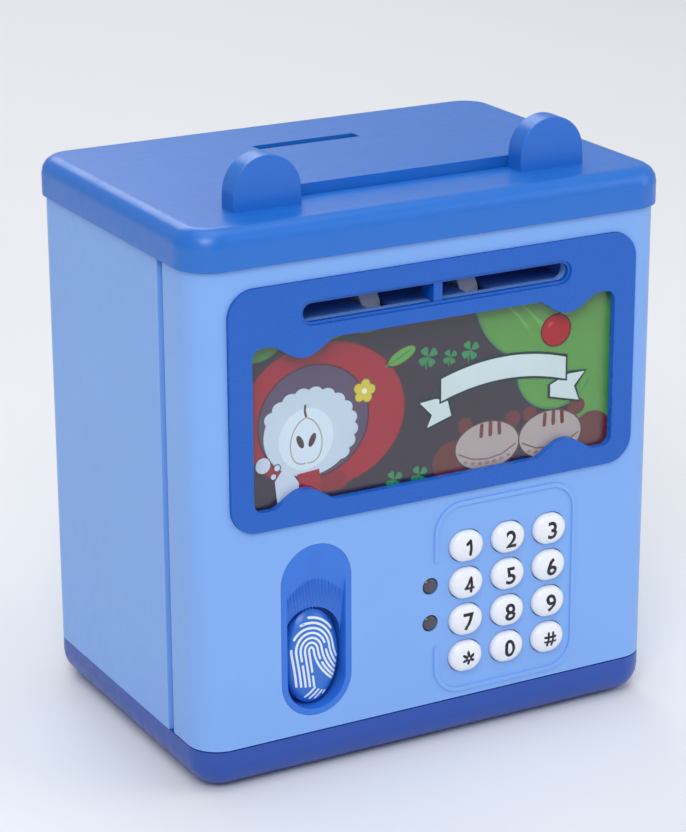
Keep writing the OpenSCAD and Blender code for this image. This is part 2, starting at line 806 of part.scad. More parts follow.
module key_cap(i) color("#e9ebf2") translate([key_x(i), 0, key_z(i)]) {
    hull() {
        for (k = KEY_DOME)
            facing(face_y - key_proud + k[0], face_y - key_proud + k[0] + eps)
                capsule(key_w - 2 * k[1], key_h - 2 * k[1], $fn = key_fn);
    }
    facing(face_y - key_proud + KEY_DOME[3][0], flange_y + eps) capsule(key_w, key_h);
    facing(flange_y, flange_y + key_flange_t) square([key_w + 2 * key_flange_w, key_h - 2], center = true);
    facing(flange_y, post_y) circle(key_post_r);
}

module key_membrane() color("#c9ccd2") {
    facing(dome_y + dome_t, board_y)
        between(pad_x - pad_w / 2, pad_x + pad_w / 2, pad_mid_z - pad_h / 2, pad_mid_z + pad_h / 2, 2);
    for (i = [0:11]) facing(dome_y, board_y) translate([key_x(i), key_z(i)])
        circle(membrane_dome_r);
}

module main_board() color("#2e7d46") facing(board_y, board_y + board_t) difference() {
    between(BOARD_POSTS[0][0] - boss_r, BOARD_POSTS[3][0] + boss_r,
        BOARD_POSTS[0][1] - boss_r, BOARD_POSTS[3][1] + boss_r);
    for (p = BOARD_POSTS) translate(p) circle(screw_r + boss_fit);
}

module board_screws() color("silver") {
    for (p = BOARD_POSTS) screw_from_back(p[0], board_y + board_t, p[1], board_t + 5);
}

module led(z) color("#5b6068") translate([led_x, 0, z]) {
    facing(face_y - led_proud, board_y - led_rim) circle(led_dia / 2);
    facing(board_y - 1 - led_rim, board_y - led_rim) circle(led_dia / 2 + led_rim);
    for (s = [-1, 1]) facing(board_y - led_rim - eps, board_y) translate([s * led_lead_x, 0])
        circle(led_lead_r);
}

// ---- bill feeder

// Drawn round a roller shaft's axis
module at_roll(z) { translate([roll_y, z]) children(); }

module feed_housing() color("#9fb2c8") difference() {
    union() {
        for (s = [-1, 1]) block(s * cheek_x - cheek_t / 2, s * cheek_x + cheek_t / 2, feed_y0, feed_y2,
            cheek_z0, feed_z1);
        // The right cheek also carries the motor
        block(cheek_x - cheek_t / 2, cheek_x + cheek_t / 2, feed_y0 + motor_wall_in, feed_y1,
            motor_z - motor_r, motor_z + motor_r);
        block(-cheek_x, cheek_x, feed_y0, feed_y1, feed_floor_z - plate_t, feed_floor_z);
        block(-cheek_x, cheek_x, feed_y0, feed_y2, feed_top_z, feed_top_z + plate_t);
        for (p = FEED_TABS, s = sign(p[0])) block(min(p[0] - s * boss_r, s * cheek_x),
            max(p[0] - s * boss_r, s * cheek_x), feed_tab_y, feed_tab_y + feed_tab_t,
            p[1] - boss_r, p[1] + boss_r);
    }
    for (s = [-1, 1]) {
        half = roller_w / 2 + window_gap;
        block(s * roller_x - half, s * roller_x + half, feed_y0 - 1, roll_y + roller_r + window_gap,
            feed_floor_z - plate_t - 1, feed_floor_z + 1);
        block(s * roller_x - half, s * roller_x + half, roll_y - press_r - window_gap,
            roll_y + press_r + window_gap, feed_top_z - 1, feed_top_z + plate_t + 1);
    }
    for (z = [roll_z, press_z]) across(-cheek_x - 5, cheek_x + 5) at_roll(z) circle(shaft_r + run_fit);
    across(cheek_x - 5, cheek_x + 5) translate([motor_y, motor_z]) circle(motor_hub_r + boss_fit);
    for (p = FEED_TABS) facing(feed_tab_y - 1, feed_tab_y + feed_tab_t + 1) translate(p)
        circle(screw_r + boss_fit);
}

module feed_shaft() color("silver")
    across(-cheek_x - cheek_t, gear_x + gear_w) at_roll(roll_z) circle(shaft_r);

module rollers(r, z) {
    for (s = [-1, 1]) across(s * roller_x - roller_w / 2, s * roller_x + roller_w / 2) at_roll(z)
        difference() {
            circle(r);
            circle(shaft_r);
        }
}

module feed_rollers() color("#eceef0") rollers(roller_r, roll_z);

module feed_gear() color("#f2f2ee") across(gear_x, gear_x + gear_w) at_roll(roll_z) difference() {
    rotate(mesh_a) gear(feed_teeth, feed_mod);
    circle(shaft_r);
}

module pressure_shaft() color("silver")
    across(-cheek_x - cheek_t, cheek_x + cheek_t / 2 + 0.4) at_roll(press_z) circle(shaft_r);

module pressure_rollers() color("#3a3d42") rollers(press_r, press_z);

module feed_motor() color("#c4c8cc") difference() {
    face = cheek_x - cheek_t / 2;
    translate([0, motor_y, motor_z]) {
        across(face - motor_l, face) intersection() {
            circle(motor_r);
            square([2 * motor_flat, 2 * motor_r], center = true);
        }
        across(face - eps, face + cheek_t) circle(motor_hub_r);
    }
    across(face - 8, face + 5) translate([motor_y, motor_z]) circle(motor_shaft_r + run_fit);
}

module motor_pinion() color("#f2f2ee") translate([0, motor_y, motor_z]) {
    across(gear_x, gear_x + gear_w) rotate(mesh_a + 180 + 180 / motor_teeth) gear(motor_teeth, feed_mod);
    across(cheek_x - cheek_t / 2 - 7, gear_x + eps) circle(motor_shaft_r);
}

module feed_screws() color("silver") {
    for (p = FEED_TABS) screw_from_back(p[0], feed_tab_y + feed_tab_t, p[1], feed_tab_t + 5);
}

// ---- latch

module latch_frame() color("#9fb2c8") difference() {
    back = latch_plate_y + latch_plate_t;
    guide_x = latch_x1 - guide_w;
    union() {
        facing(latch_plate_y, back) between(latch_x0, latch_x1, bolt_z - rail_t - bolt_fit, latch_z1);
        block(latch_x0, latch_x1, back - eps, bolt_y + bolt_t + 1, bolt_z - rail_t - bolt_fit,
            bolt_z - bolt_fit);
        block(guide_x, latch_x1, back - eps, bolt_y + bolt_t + rail_t, bolt_z - rail_t - bolt_fit,
            bolt_z + bolt_h + rail_t);
    }
    block(latch_x0 - 1, latch_x1 + 1, bolt_y - bolt_fit, bolt_y + bolt_t + bolt_fit,
        bolt_z - bolt_fit, bolt_z + bolt_h + bolt_fit);
    facing(latch_plate_y - 1, back + 1) translate([rack_x, latch_gear_z]) circle(latch_shaft_r + 1);
    for (p = LATCH_TABS) facing(latch_plate_y - 1, back + 1) translate(p) circle(screw_r + boss_fit);
}

module latch_motor() color("#3a3d42") facing(latch_plate_y - latch_motor_l, latch_plate_y)
    translate([rack_x, latch_gear_z]) difference() {
        rounded(latch_motor_w, latch_motor_w, 2);
        circle(latch_shaft_r + run_fit);
    }

module latch_gear() color("#f2f2ee") translate([rack_x, 0, latch_gear_z]) {
    facing(bolt_y + bolt_fit, bolt_y + bolt_t - bolt_fit) gear(latch_teeth, latch_mod);
    facing(latch_plate_y - 5, bolt_y + bolt_t) circle(latch_shaft_r);
}

module rack_tooth() {
    half = rack_pitch / 4 - backlash / 2;
    low = -1.2 * latch_mod - eps;
    high = 0.85 * latch_mod;
    polygon([[-half + low * tan(20), low], [half - low * tan(20), low],
        [half - high * tan(20), high], [-half + high * tan(20), high]]);
}

module latch_bolt() color("#d9dce0") facing(bolt_y, bolt_y + bolt_t) {
    between(bolt_x0, bolt_x1, bolt_z, bolt_z + bolt_h, 0.8);
    for (i = [-3:1]) translate([rack_x + (i + 0.5) * rack_pitch, rack_z]) rack_tooth();
}

module latch_screws() color("silver") {
    for (p = LATCH_TABS) translate([p[0], latch_plate_y, p[1]]) rotate([90, 0, 0])
        screw(latch_plate_t + 6);
}

// ---- loudspeaker

module speaker() color("#3b3e44") translate([speaker_x, 0, speaker_z]) {
    facing(speaker_y1 - 2.4, speaker_y1) circle(speaker_dia / 2);
    facing(speaker_y1 - 6, speaker_y1) circle(speaker_dia / 3);
    facing(speaker_y1 - speaker_l, speaker_y1) circle(speaker_dia / 4.4);
}

module speaker_clamp() color("#9fb2c8") translate([speaker_x, 0, speaker_z])
    facing(speaker_y1 - 2.4 - plate_t, speaker_y1 - 2.4) difference() {
        union() {
            circle(speaker_dia / 2 + 1);
            for (p = SPEAKER_TABS) translate(p) circle(boss_r);
        }
        circle(speaker_dia / 2 - clamp_w);
        for (p = SPEAKER_TABS) translate(p) circle(screw_r + boss_fit);
    }

module speaker_screws() color("silver") {
    for (p = SPEAKER_TABS)
        translate([speaker_x + p[0], speaker_y1 - 2.4 - plate_t, speaker_z + p[1]])
            rotate([90, 0, 0]) screw(plate_t + 3.4);
}

// ---- door cover and battery bay

module lid_outline(grow = 0) {
    between(bay_x0 - lid_lap - grow, bay_x1 + lid_tail + grow, bay_z0 - lid_lap - grow,
        bay_z1 + lid_lap + grow, 2);
}

module cover_shell() {
    facing(seam_y - cover_flange_t, seam_y)
        between(flange_x0, flange_x1, door_z0 + wall + 0.3, door_z1 - wall - 0.3, 2);
    facing(seam_y - eps, cover_y) between(cover_x0, cover_x1, cover_z0, cover_z1, 4);
}

module door_cover() color("#a9c4ee") difference() {
    back = cover_y - wall;
    union() {
        difference() {
            cover_shell();
            facing(seam_y - cover_flange_t - 1, back)
                between(cover_x0 + wall, cover_x1 - wall, cover_z0 + wall, cover_z1 - wall, 2);
        }
        block(bay_x0 - bay_wall, bay_x1 + bay_wall, bay_y0 - bay_wall, back + eps,
            bay_z0 - bay_wall, bay_z1 + bay_wall);
        facing(back - 8, back + eps) translate(lid_screw) circle(boss_r);
        facing(back - 1.2, back + eps) intersection() {
            lid_outline(1.2);
            between(cover_x0, cover_x1, cover_z0, cover_z1, 4);
        }
        for (p = LATCH_TABS) facing(latch_plate_y + latch_plate_t, back + eps) translate(p) circle(boss_r);
        for (p = SPEAKER_TABS) facing(speaker_y1 - 2.4, back + eps)
            translate([speaker_x, speaker_z] + p) circle(boss_r);
    }
    block(bay_x0, bay_x1, bay_y0, cover_y + 1, bay_z0, bay_z1);
    facing(cover_y - lid_t, cover_y + 1) lid_outline();
    facing(back - 7, cover_y) translate(lid_screw) circle(screw_r + boss_fit);
    for (p = COVER_POSTS) facing(seam_y - cover_flange_t - 1, seam_y + 1) translate(p)
        circle(screw_r + boss_fit);
    for (p = COVER_POSTS) facing(seam_y - head_t, seam_y + 1) translate(p) circle(head_r + slip);
    for (p = LATCH_TABS) facing(latch_plate_y, back - 1) translate(p) circle(screw_r + boss_fit);
    for (p = SPEAKER_TABS) facing(speaker_y1 - 5, back + 1) translate([speaker_x, speaker_z] + p)
        circle(screw_r + boss_fit);
    translate([speaker_x, 0, speaker_z]) for (ring = [0:2], k = [0:max(1, ring * 6) - 1])
        rotate([0, k * 60 / max(1, ring), 0]) facing(back - 1, cover_y + 1)
            translate([ring * grille_step, 0]) circle(grille_r);
    facing(back - 1, cover_y + 1) between(-slot_l / 2 - 1, slot_l / 2 + 1,
        slot_z - slot_h / 2 - bill_exit_drop, slot_z + slot_h / 2 + 1, 2);
    block(cover_x1 - wall - 1, cover_x1 + 1, bolt_y - 2 * bolt_fit, bolt_y + bolt_t + 2 * bolt_fit,
        bolt_z - 2 * bolt_fit, bolt_z + bolt_h + 2 * bolt_fit);
}

module cover_screws() color("silver") {
    for (p = COVER_POSTS) screw_from_back(p[0], seam_y - head_t, p[1], 7);
}

module battery_cover() color("#a9c4ee") difference() {
    union() {
        facing(cover_y - lid_t, cover_y) lid_outline(-lid_fit);
        for (z = [bay_z0 + lid_fit, bay_z1 - lid_fit - 1.2])
            block(bay_x0 + 8, bay_x1 - 8, cover_y - lid_t - 1.5, cover_y - lid_t + eps, z, z + 1.2);
    }
    facing(cover_y - lid_t - 1, cover_y + 1) translate(lid_screw) circle(screw_r + slip);
}

module battery_screw() color("silver")
    screw_from_back(lid_screw[0], cover_y, lid_screw[1], lid_t + 4);

function cell_z(i) = bay_z0 + 1 + cell_dia * (i + 0.5);

module battery_contacts() color("silver") {
    for (i = [0 : cells - 1]) for (x = [bay_x0, bay_x1 - 0.5])
        block(x, x + 0.5, bay_y0 + 1, bay_y0 + cell_dia - 2, cell_z(i) - 5, cell_z(i) + 5);
}

module battery_springs() color("silver") {
    for (i = [0 : cells - 1]) {
        left = i % 2 == 0;
        translate([left ? bay_x0 + 0.5 : bay_x1 - 0.5, bay_y0 + cell_dia / 2, cell_z(i)])
            rotate([0, left ? 90 : -90, 0]) cylinder(h = 3.5, r1 = 4.2, r2 = 2.4);
    }
}

body_shell();
base();
bottom_plate();
foot_pads();
base_screws();
top_cap();
front_door();
hinge_pins();
face_panel();
screen_window();
picture_card();
finger_channel();
finger_pad();
finger_switch();
sensor_board();
key_membrane();
main_board();
board_screws();
led(LED_Z[0]);  // led_upper
led(LED_Z[1]);  // led_lower
feed_housing();
feed_shaft();
feed_rollers();
feed_gear();
pressure_shaft();
pressure_rollers();
feed_motor();
motor_pinion();
feed_screws();
latch_frame();
latch_motor();
latch_gear();
latch_bolt();
latch_screws();
strike_plate();
strike_screws();
speaker();
speaker_clamp();
speaker_screws();
door_cover();
cover_screws();
battery_contacts();
battery_springs();
battery_cover();
battery_screw();
for (i = [0:11]) key_cap(i);
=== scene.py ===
"""Toy cash-machine savings bank: the finished look of every piece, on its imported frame."""

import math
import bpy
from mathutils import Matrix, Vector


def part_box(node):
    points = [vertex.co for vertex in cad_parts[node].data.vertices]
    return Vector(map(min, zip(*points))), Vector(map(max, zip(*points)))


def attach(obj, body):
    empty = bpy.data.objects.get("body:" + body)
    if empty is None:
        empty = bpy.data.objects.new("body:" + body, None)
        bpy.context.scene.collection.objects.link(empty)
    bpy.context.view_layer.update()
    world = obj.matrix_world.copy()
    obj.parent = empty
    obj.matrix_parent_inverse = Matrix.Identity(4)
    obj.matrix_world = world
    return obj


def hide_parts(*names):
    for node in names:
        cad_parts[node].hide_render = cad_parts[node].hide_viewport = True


bl_info = {
    "name": "Toy Cash-Machine Bank",
    "version": (1, 0, 0),
    "blender": (4, 5, 0),
    "location": "3D View > Sidebar > Toy Bank",
    "description": "Builds the moulded, printed and metal pieces of a toy cash-machine savings bank",
    "category": "Object",
}

import bmesh
import bpy
from bpy.props import FloatProperty, IntProperty, PointerProperty, StringProperty
from mathutils import Matrix, Vector

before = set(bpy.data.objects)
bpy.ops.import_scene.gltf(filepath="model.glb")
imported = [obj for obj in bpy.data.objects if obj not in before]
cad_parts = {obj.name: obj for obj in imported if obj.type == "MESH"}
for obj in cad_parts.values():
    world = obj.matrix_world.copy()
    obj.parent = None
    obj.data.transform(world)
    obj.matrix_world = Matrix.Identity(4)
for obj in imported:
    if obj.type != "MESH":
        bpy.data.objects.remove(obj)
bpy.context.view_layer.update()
MM = 0.001

KEYS = ["1", "2", "3", "4", "5", "6", "7", "8", "9", "star", "0", "hash"]
PRINTS = {"star": "*", "hash": "#"}


# ---- sizes and colours that a user may change


def colour(name, value, what):
    return StringProperty(name=name, description=what + ", as an sRGB hex value", default=value)


def length(name, what, value, low, high):
    """A length that is given in mm and kept in metres."""
    return FloatProperty(name=name, description=what, default=value * MM, unit="LENGTH", min=low * MM,
                         max=high * MM)


class BankColours(bpy.types.PropertyGroup):
    body: colour("Body", "#7fadee", "Light blue ABS of the body and the door")
    panel: colour("Panel", "#125dbe", "Royal blue ABS of the panel round the screen")
    recess: colour("Finger channel", "#2f74d8", "Blue ABS of the finger channel")
    pad: colour("Finger pad", "#2e70cc", "Blue ABS of the finger pad")
    base: colour("Base", "#1d4aa6", "Dark blue ABS of the base")
    cap: colour("Cap", "#1c6cc8", "Blue ABS of the cap and its ears")
    keys: colour("Keys", "#eceef4", "White ABS of the keys")
    ink: colour("Key ink", "#15171c", "Black ink of the key digits")
    card: colour("Card ground", "#2d1f30", "Plum ground of the printed card")
    cover: colour("Door cover", "#a4c2ee", "Pale blue ABS of the cover behind the door")


class BankSizes(bpy.types.PropertyGroup):
    edge: length("Edge radius", "Radius of a moulded outer edge", 0.35, 0.05, 0.8)
    panel_edge: length("Panel edge", "Radius of the panel's outer edge", 0.8, 0.1, 0.9)
    ear_edge: length("Ear edge", "Radius of an ear's rounded rim", 1.5, 0.2, 3)
    digit: length("Digit height", "Height of the digits on the keys", 5.1, 3, 8)
    print_line: length("Print line", "Width of a line of the finger print", 0.66, 0.2, 1)
    print_step: length("Print spacing", "Distance between the lines of the finger print", 1.3, 0.6, 2)
    ribs: IntProperty(name="Channel ribs", description="Number of ribs in the finger channel",
                      default=17, min=2, max=25)
    rib: length("Rib radius", "Radius of a rib in the finger channel", 0.16, 0.05, 0.5)


# ---- materials


def linear(value, alpha=1.0):
    """An sRGB hex value as the linear colour that a shader takes."""
    parts = [int(value[i:i + 2], 16) / 255 for i in (1, 3, 5)]
    return [p / 12.92 if p <= 0.04045 else ((p + 0.055) / 1.055) ** 2.4 for p in parts] + [alpha]


def add(tree, kind, settings=None, links=None):
    """Adds a node, sets its properties or sockets, and joins its sockets to others' outputs."""
    made = tree.nodes.new("ShaderNode" + kind)
    for name, value in (settings or {}).items():
        if isinstance(name, int) or name in made.inputs:
            made.inputs[name].default_value = value
        else:
            setattr(made, name, value)
    for name, source in (links or {}).items():
        tree.links.new(source, made.inputs[name])
    return made


def shades(value, amount):
    """A darker and a lighter shade of a colour, as the ends of a colour variation."""
    base = linear(value)
    return ([c * (1 - amount) for c in base[:3]] + [1], [min(c * (1 + amount), 1) for c in base[:3]] + [1])


def blank(name):
    """An empty material, its node tree and the piece's own coordinates, in metres."""
    made = bpy.data.materials.get(name) or bpy.data.materials.new(name)
    made.use_nodes = True
    made.node_tree.nodes.clear()
    return made, made.node_tree, add(made.node_tree, "TexCoord").outputs["Object"]


def finish(name, value, roughness, metallic=0.0, patch=20.0, variation=0.05,
           rough_patch=3.0, rough_range=0.06, grain=0.3, depth=0.004, **sockets):
    """A surface with a cloudy colour patch, a finer change of gloss and a fine grain, all sized in mm."""
    made, tree, place = blank(name)
    cloud = add(tree, "TexNoise", {"Scale": 1 / (patch * MM), "Detail": 3.0, "Roughness": 0.55},
                {"Vector": place})
    low, high = shades(value, variation)
    tint = add(tree, "Mix", {"data_type": "RGBA", 6: low, 7: high}, {0: cloud.outputs["Fac"]})
    smear = add(tree, "TexNoise", {"Scale": 1 / (rough_patch * MM), "Detail": 2.0}, {"Vector": place})
    gloss = add(tree, "MapRange", {"From Min": 0.3, "From Max": 0.7, "To Min": roughness - rough_range,
                                   "To Max": roughness + rough_range}, {"Value": smear.outputs["Fac"]})
    fine = add(tree, "TexNoise", {"Scale": 1 / (grain * MM), "Detail": 2.0, "Roughness": 0.6},
               {"Vector": place})
    bump = add(tree, "Bump", {"Strength": 1.0, "Distance": depth * MM}, {"Height": fine.outputs["Fac"]})
    shader = add(tree, "BsdfPrincipled", {"Metallic": metallic, **sockets},
                 {"Base Color": tint.outputs[2], "Roughness": gloss.outputs["Result"],
                  "Normal": bump.outputs["Normal"]})
    add(tree, "OutputMaterial", links={"Surface": shader.outputs["BSDF"]})
    return made


def abs_plastic(name, value, roughness=0.38):
    """ABS, injection moulded in a polished tool: a soft gloss, faint flow clouds and a very fine grain."""
    return finish(name, value, roughness, patch=28, variation=0.035, rough_patch=4,
                  rough_range=0.05, grain=0.45, depth=0.006, IOR=1.53)


def glossy_abs(name, value):
    """ABS from a mirror-polished tool: the keys and the royal blue panel shine more than the body."""
    return finish(name, value, 0.27, patch=22, variation=0.015, rough_patch=9, rough_range=0.03,
                  grain=0.45, depth=0.003, **{"IOR": 1.53, "Specular IOR Level": 0.4})


def nylon(name, value):
    """Nylon 6 for gears and rollers, moulded: waxy, slightly see-through at the edges, low gloss."""
    return finish(name, value, 0.45, patch=6, variation=0.03, grain=0.35, depth=0.006,
                  **{"IOR": 1.53, "Subsurface Weight": 0.08, "Subsurface Scale": 1.2 * MM})


def steel(name):
    """Zinc-plated mild steel for screws, pins and contacts: bright, with a slight bluish haze."""
    return finish(name, "#b9bdc2", 0.3, metallic=1.0, patch=2.5, variation=0.08, rough_patch=0.8,
                  rough_range=0.08, grain=0.2, depth=0.003)


def rubber(name, value):
    """Moulded nitrile rubber or rubber foam: dark and dull, with a fine pitted skin."""
    return finish(name, value, 0.72, patch=4, variation=0.1, grain=0.25, depth=0.02, IOR=1.5)


def silicone(name, value):
    """Compression-moulded silicone of a key mat: soft sheen, powdery, a little see-through."""
    return finish(name, value, 0.55, patch=9, variation=0.04, grain=0.4, depth=0.005,
                  **{"IOR": 1.41, "Subsurface Weight": 0.15, "Subsurface Scale": 1.5 * MM})


def ink(name, value, roughness=0.42, specular=0.5):
    """Printing ink on a card, a key or the pad: an even colour with a very fine tooth."""
    return finish(name, value, roughness, patch=7, variation=0.03, rough_patch=4, rough_range=0.03,
                  grain=0.5, depth=0.0003, **{"IOR": 1.48, "Specular IOR Level": specular})


def board_laminate(name):
    """FR4 glass laminate under green solder mask: paler tracks show through where copper lies below."""
    made = finish(name, "#1f6b3b", 0.32, patch=5, variation=0.08, grain=0.3, depth=0.004, IOR=1.5)
    tree = made.node_tree
    place = tree.nodes["Texture Coordinate"].outputs["Object"]
    # Tracks 0.5 mm wide in bricks of 3 mm by 1.8 mm, drawn in the board's own plane
    turned = add(tree, "Mapping", {"Rotation": (math.pi / 2, 0, 0)}, {"Vector": place})
    tracks = add(tree, "TexBrick", {"Scale": 1.0, "Mortar Size": 0.25 * MM, "Brick Width": 3 * MM,
                                    "Row Height": 1.8 * MM, "Color1": (0, 0, 0, 1),
                                    "Color2": (0, 0, 0, 1), "Mortar": (1, 1, 1, 1)},
                 {"Vector": turned.outputs["Vector"]})
    shader = tree.nodes["Principled BSDF"]
    own = shader.inputs["Base Color"].links[0].from_socket
    mixed = add(tree, "Mix", {"data_type": "RGBA", 7: linear("#3f9a5c")}, {0: tracks.outputs["Fac"], 6: own})
    tree.links.new(mixed.outputs[2], shader.inputs["Base Color"])
    return made


def clear_acrylic(name):
    """Cast acrylic sheet, flame-polished: clear and glossy; lamp light passes it to the card behind."""
    made, tree, place = blank(name)
    value = linear("#eef4fa")
    smear = add(tree, "TexNoise", {"Scale": 1 / (14 * MM), "Detail": 2.0}, {"Vector": place})
    gloss = add(tree, "MapRange", {"From Min": 0.35, "From Max": 0.75, "To Min": 0.02, "To Max": 0.07},
                {"Value": smear.outputs["Fac"]})
    glass = add(tree, "BsdfPrincipled", {"Base Color": value, "IOR": 1.49,
                                         "Transmission Weight": 1.0, "Specular IOR Level": 0.12},
                {"Roughness": gloss.outputs["Result"]})
    open_to_light = add(tree, "BsdfTransparent", {"Color": value})
    path = add(tree, "LightPath")
    both = add(tree, "MixShader", None, {0: path.outputs["Is Shadow Ray"], 1: glass.outputs["BSDF"],
                                         2: open_to_light.outputs["BSDF"]})
    add(tree, "OutputMaterial", links={"Surface": both.outputs["Shader"]})
    return made


def smoked_lens(name):
    """Smoked epoxy of a status light, cast: dark grey, glossy, a little light comes back out of it."""
    return finish(name, "#4d4650", 0.2, patch=2, variation=0.12, rough_patch=2, rough_range=0.04,
                  grain=0.5, depth=0.003, **{"IOR": 1.54, "Subsurface Weight": 0.3,
                                             "Subsurface Scale": 0.8 * MM})


def materials():
    """Every finish of the bank, by the name of the record's slot that it belongs to."""
    c = bpy.context.scene.bank_colours
    return {
        "light_blue_abs": abs_plastic("Moulded ABS, light blue", c.body, 0.4),
        "royal_blue_abs": glossy_abs("Polished ABS, royal blue", c.panel),
        "channel_abs": abs_plastic("Moulded ABS, channel blue", c.recess, 0.34),
        "pad_abs": abs_plastic("Moulded ABS, pad blue", c.pad, 0.34),
        "dark_blue_abs": abs_plastic("Moulded ABS, dark blue", c.base, 0.36),
        "cap_blue_abs": abs_plastic("Moulded ABS, cap blue", c.cap, 0.33),
        "cover_abs": abs_plastic("Moulded ABS, pale blue", c.cover, 0.42),
        "feeder_abs": abs_plastic("Moulded ABS, feeder blue", "#4f7fcb", 0.4),
        "white_key": glossy_abs("Polished ABS, white", c.keys),
        "clear_window": clear_acrylic("Cast acrylic, clear"),
        "printed_card": ink("Varnished card, plum", c.card, 0.7, 0.05),
        "grey_silicone": silicone("Moulded silicone, grey", "#c4c8ce"),
        "green_board": board_laminate("FR4 laminate, green"),
        "black_plastic": abs_plastic("Moulded ABS, black", "#24262a", 0.45),
        "smoked_lens": smoked_lens("Cast epoxy, smoked"),
        "steel": steel("Plated steel"),
        "white_nylon": nylon("Moulded nylon, white", "#e9eaec"),
        "black_rubber": rubber("Nitrile rubber, black", "#2c2e32"),
        "foot_foam": rubber("Foam rubber, dark", "#24272c"),
    }


# ---- ways to work on a mesh


def leave_edit():
    bpy.ops.object.mode_set(mode="OBJECT")


def nothing():
    """Leaves nothing selected, in object mode."""
    if bpy.context.object and bpy.context.object.mode != "OBJECT":
        leave_edit()
    bpy.ops.object.select_all(action="DESELECT")


def only(obj):
    """Leaves obj as the one selected and active object, in object mode."""
    nothing()
    obj.select_set(True)
    bpy.context.view_layer.objects.active = obj


def pick(obj, kind, test):
    """In edit mode, selects just the verts, edges or faces that pass the test."""
    if obj.mode != "EDIT":
        only(obj)
        bpy.ops.object.mode_set(mode="EDIT")
    bpy.ops.mesh.select_mode(type=kind[:-1].upper())
    bpy.ops.mesh.select_all(action="DESELECT")
    mesh = bmesh.from_edit_mesh(obj.data)
    found = [e for e in getattr(mesh, kind) if test(e)]
    for e in found:
        e.select_set(True)
    mesh.select_flush_mode()
    bmesh.update_edit_mesh(obj.data)
    return len(found)


def named(obj, name):
    obj.name = obj.data.name = name
    return obj


def linked(name, data):
    """A new object in the scene, selected and active."""
    obj = bpy.data.objects.new(name, data)
    bpy.context.scene.collection.objects.link(obj)
    only(obj)
    return obj


def meshed(obj):
    """The object as a mesh, where it was a curve or text."""
    only(obj)
    bpy.ops.object.convert(target="MESH")
    return bpy.context.object


def placed(obj, name):
    """Names a new object and puts its place and turn into its mesh."""
    only(named(obj, name))
    bpy.ops.object.transform_apply(location=True, rotation=True, scale=True)
    return obj


def drum(name, radius, y0, y1, x=0.0, z=0.0, sides=48, along="Y"):
    """A cylinder along Y, or along X, whose first corner is half a step round."""
    nothing()
    turn = (math.pi / 2, 0, 0) if along == "Y" else (0, math.pi / 2, 0)
    spot = (x, (y0 + y1) / 2, z) if along == "Y" else ((y0 + y1) / 2, x, z)
    bpy.ops.mesh.primitive_cylinder_add(vertices=sides, radius=radius, depth=y1 - y0, location=(0, 0, 0))
    obj = bpy.context.object
    obj.data.transform(Matrix.Rotation(math.pi / sides, 4, "Z"))
    obj.rotation_euler = turn
    obj.location = spot
    return placed(obj, name)


def box(name, low, high):
    nothing()
    low, high = Vector(low), Vector(high)
    bpy.ops.mesh.primitive_cube_add(size=1, location=(low + high) / 2)
    obj = bpy.context.object
    obj.scale = high - low
    return placed(obj, name)


def joined(parts, name=None):
    """Joins the parts into the first one, and names it."""
    only(parts[0])
    for part in parts[1:]:
        part.select_set(True)
    bpy.ops.object.join()
    return named(parts[0], name) if name else parts[0]


def modified(obj, kind, **settings):
    """Adds a modifier with its settings and applies it."""
    only(obj)
    made = obj.modifiers.new(kind.title(), kind)
    for name, value in settings.items():
        setattr(made, name, value)
    bpy.ops.object.modifier_apply(modifier=made.name)
    return obj


def softened(obj, width, segments=2, **settings):
    """Rounds an object's sharp edges."""
    return modified(obj, "BEVEL", width=width, segments=segments, limit_method="ANGLE", **settings)


def smooth(obj, angle=32):
    only(obj)
    bpy.ops.object.shade_smooth_by_angle(angle=math.radians(angle))
    return obj


def levelled(obj):
    """Weights the shading by face size, so that large flat faces stay flat beside their rounded edges."""
    return modified(obj, "WEIGHTED_NORMAL", keep_sharp=True, weight=80)


def dress(obj, finish_name, body="door", nodes=()):
    """Gives a piece its finish and its body, and hides the CAD nodes that it stands for."""
    obj.data.materials.clear()
    obj.data.materials.append(FINISHES[finish_name])
    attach(obj, body)
    if nodes:
        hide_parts(*nodes)
    return obj


def merged_copy(node, name):
    """A copy of a CAD node's mesh with its corners joined and its flat faces made whole."""
    obj = named(linked(name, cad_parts[node].data.copy()), name)
    obj.data.materials.clear()
    bpy.ops.object.mode_set(mode="EDIT")
    bpy.ops.mesh.select_all(action="SELECT")
    bpy.ops.mesh.remove_doubles(threshold=0.0005 * MM)
    bpy.ops.mesh.dissolve_limited(angle_limit=math.radians(0.5), use_dissolve_boundaries=False)
    leave_edit()
    return obj


def rounded_edges(obj, radius, segments=2, angle=45):
    if radius > 0:
        softened(obj, radius, segments, angle_limit=math.radians(angle), miter_outer="MITER_ARC",
                 use_clamp_overlap=True)
    return levelled(smooth(obj))


def moulding(node, name, radius, finish_name, body="door", segments=2):
    """A CAD node's shape with the small edge radii, in metres, that its tool gives it."""
    obj = rounded_edges(merged_copy(node, name), radius, segments)
    return dress(obj, finish_name, body, [node])


def screws(*nodes, body="door"):
    """A CAD node of like screws, each with its edges broken."""
    for node in nodes:
        moulding(node, node.replace("screws", "fasteners"), 0.15 * MM, "steel", body)


def capsule_drum(name, width, height, y0, y1, sides=64):
    """A capsule-shaped block facing the front, centred on the origin."""
    short, long_ = min(width, height), max(width, height)
    axis = 0 if width > height else 2
    obj = drum(name, short / 2, y0, y1, sides=sides)
    for side in (-1, 1):
        pick(obj, "verts", lambda v: v.co[axis] * side > 0)
        shift = [0, 0, 0]
        shift[axis] = side * (long_ - short) / 2
        bpy.ops.transform.translate(value=shift)
    leave_edit()
    return obj


def at_front(front):
    """A test for edges that lie on the front plane, within a hundredth of a millimetre."""
    return lambda e: all(v.co.y < front + 0.01 * MM for v in e.verts)


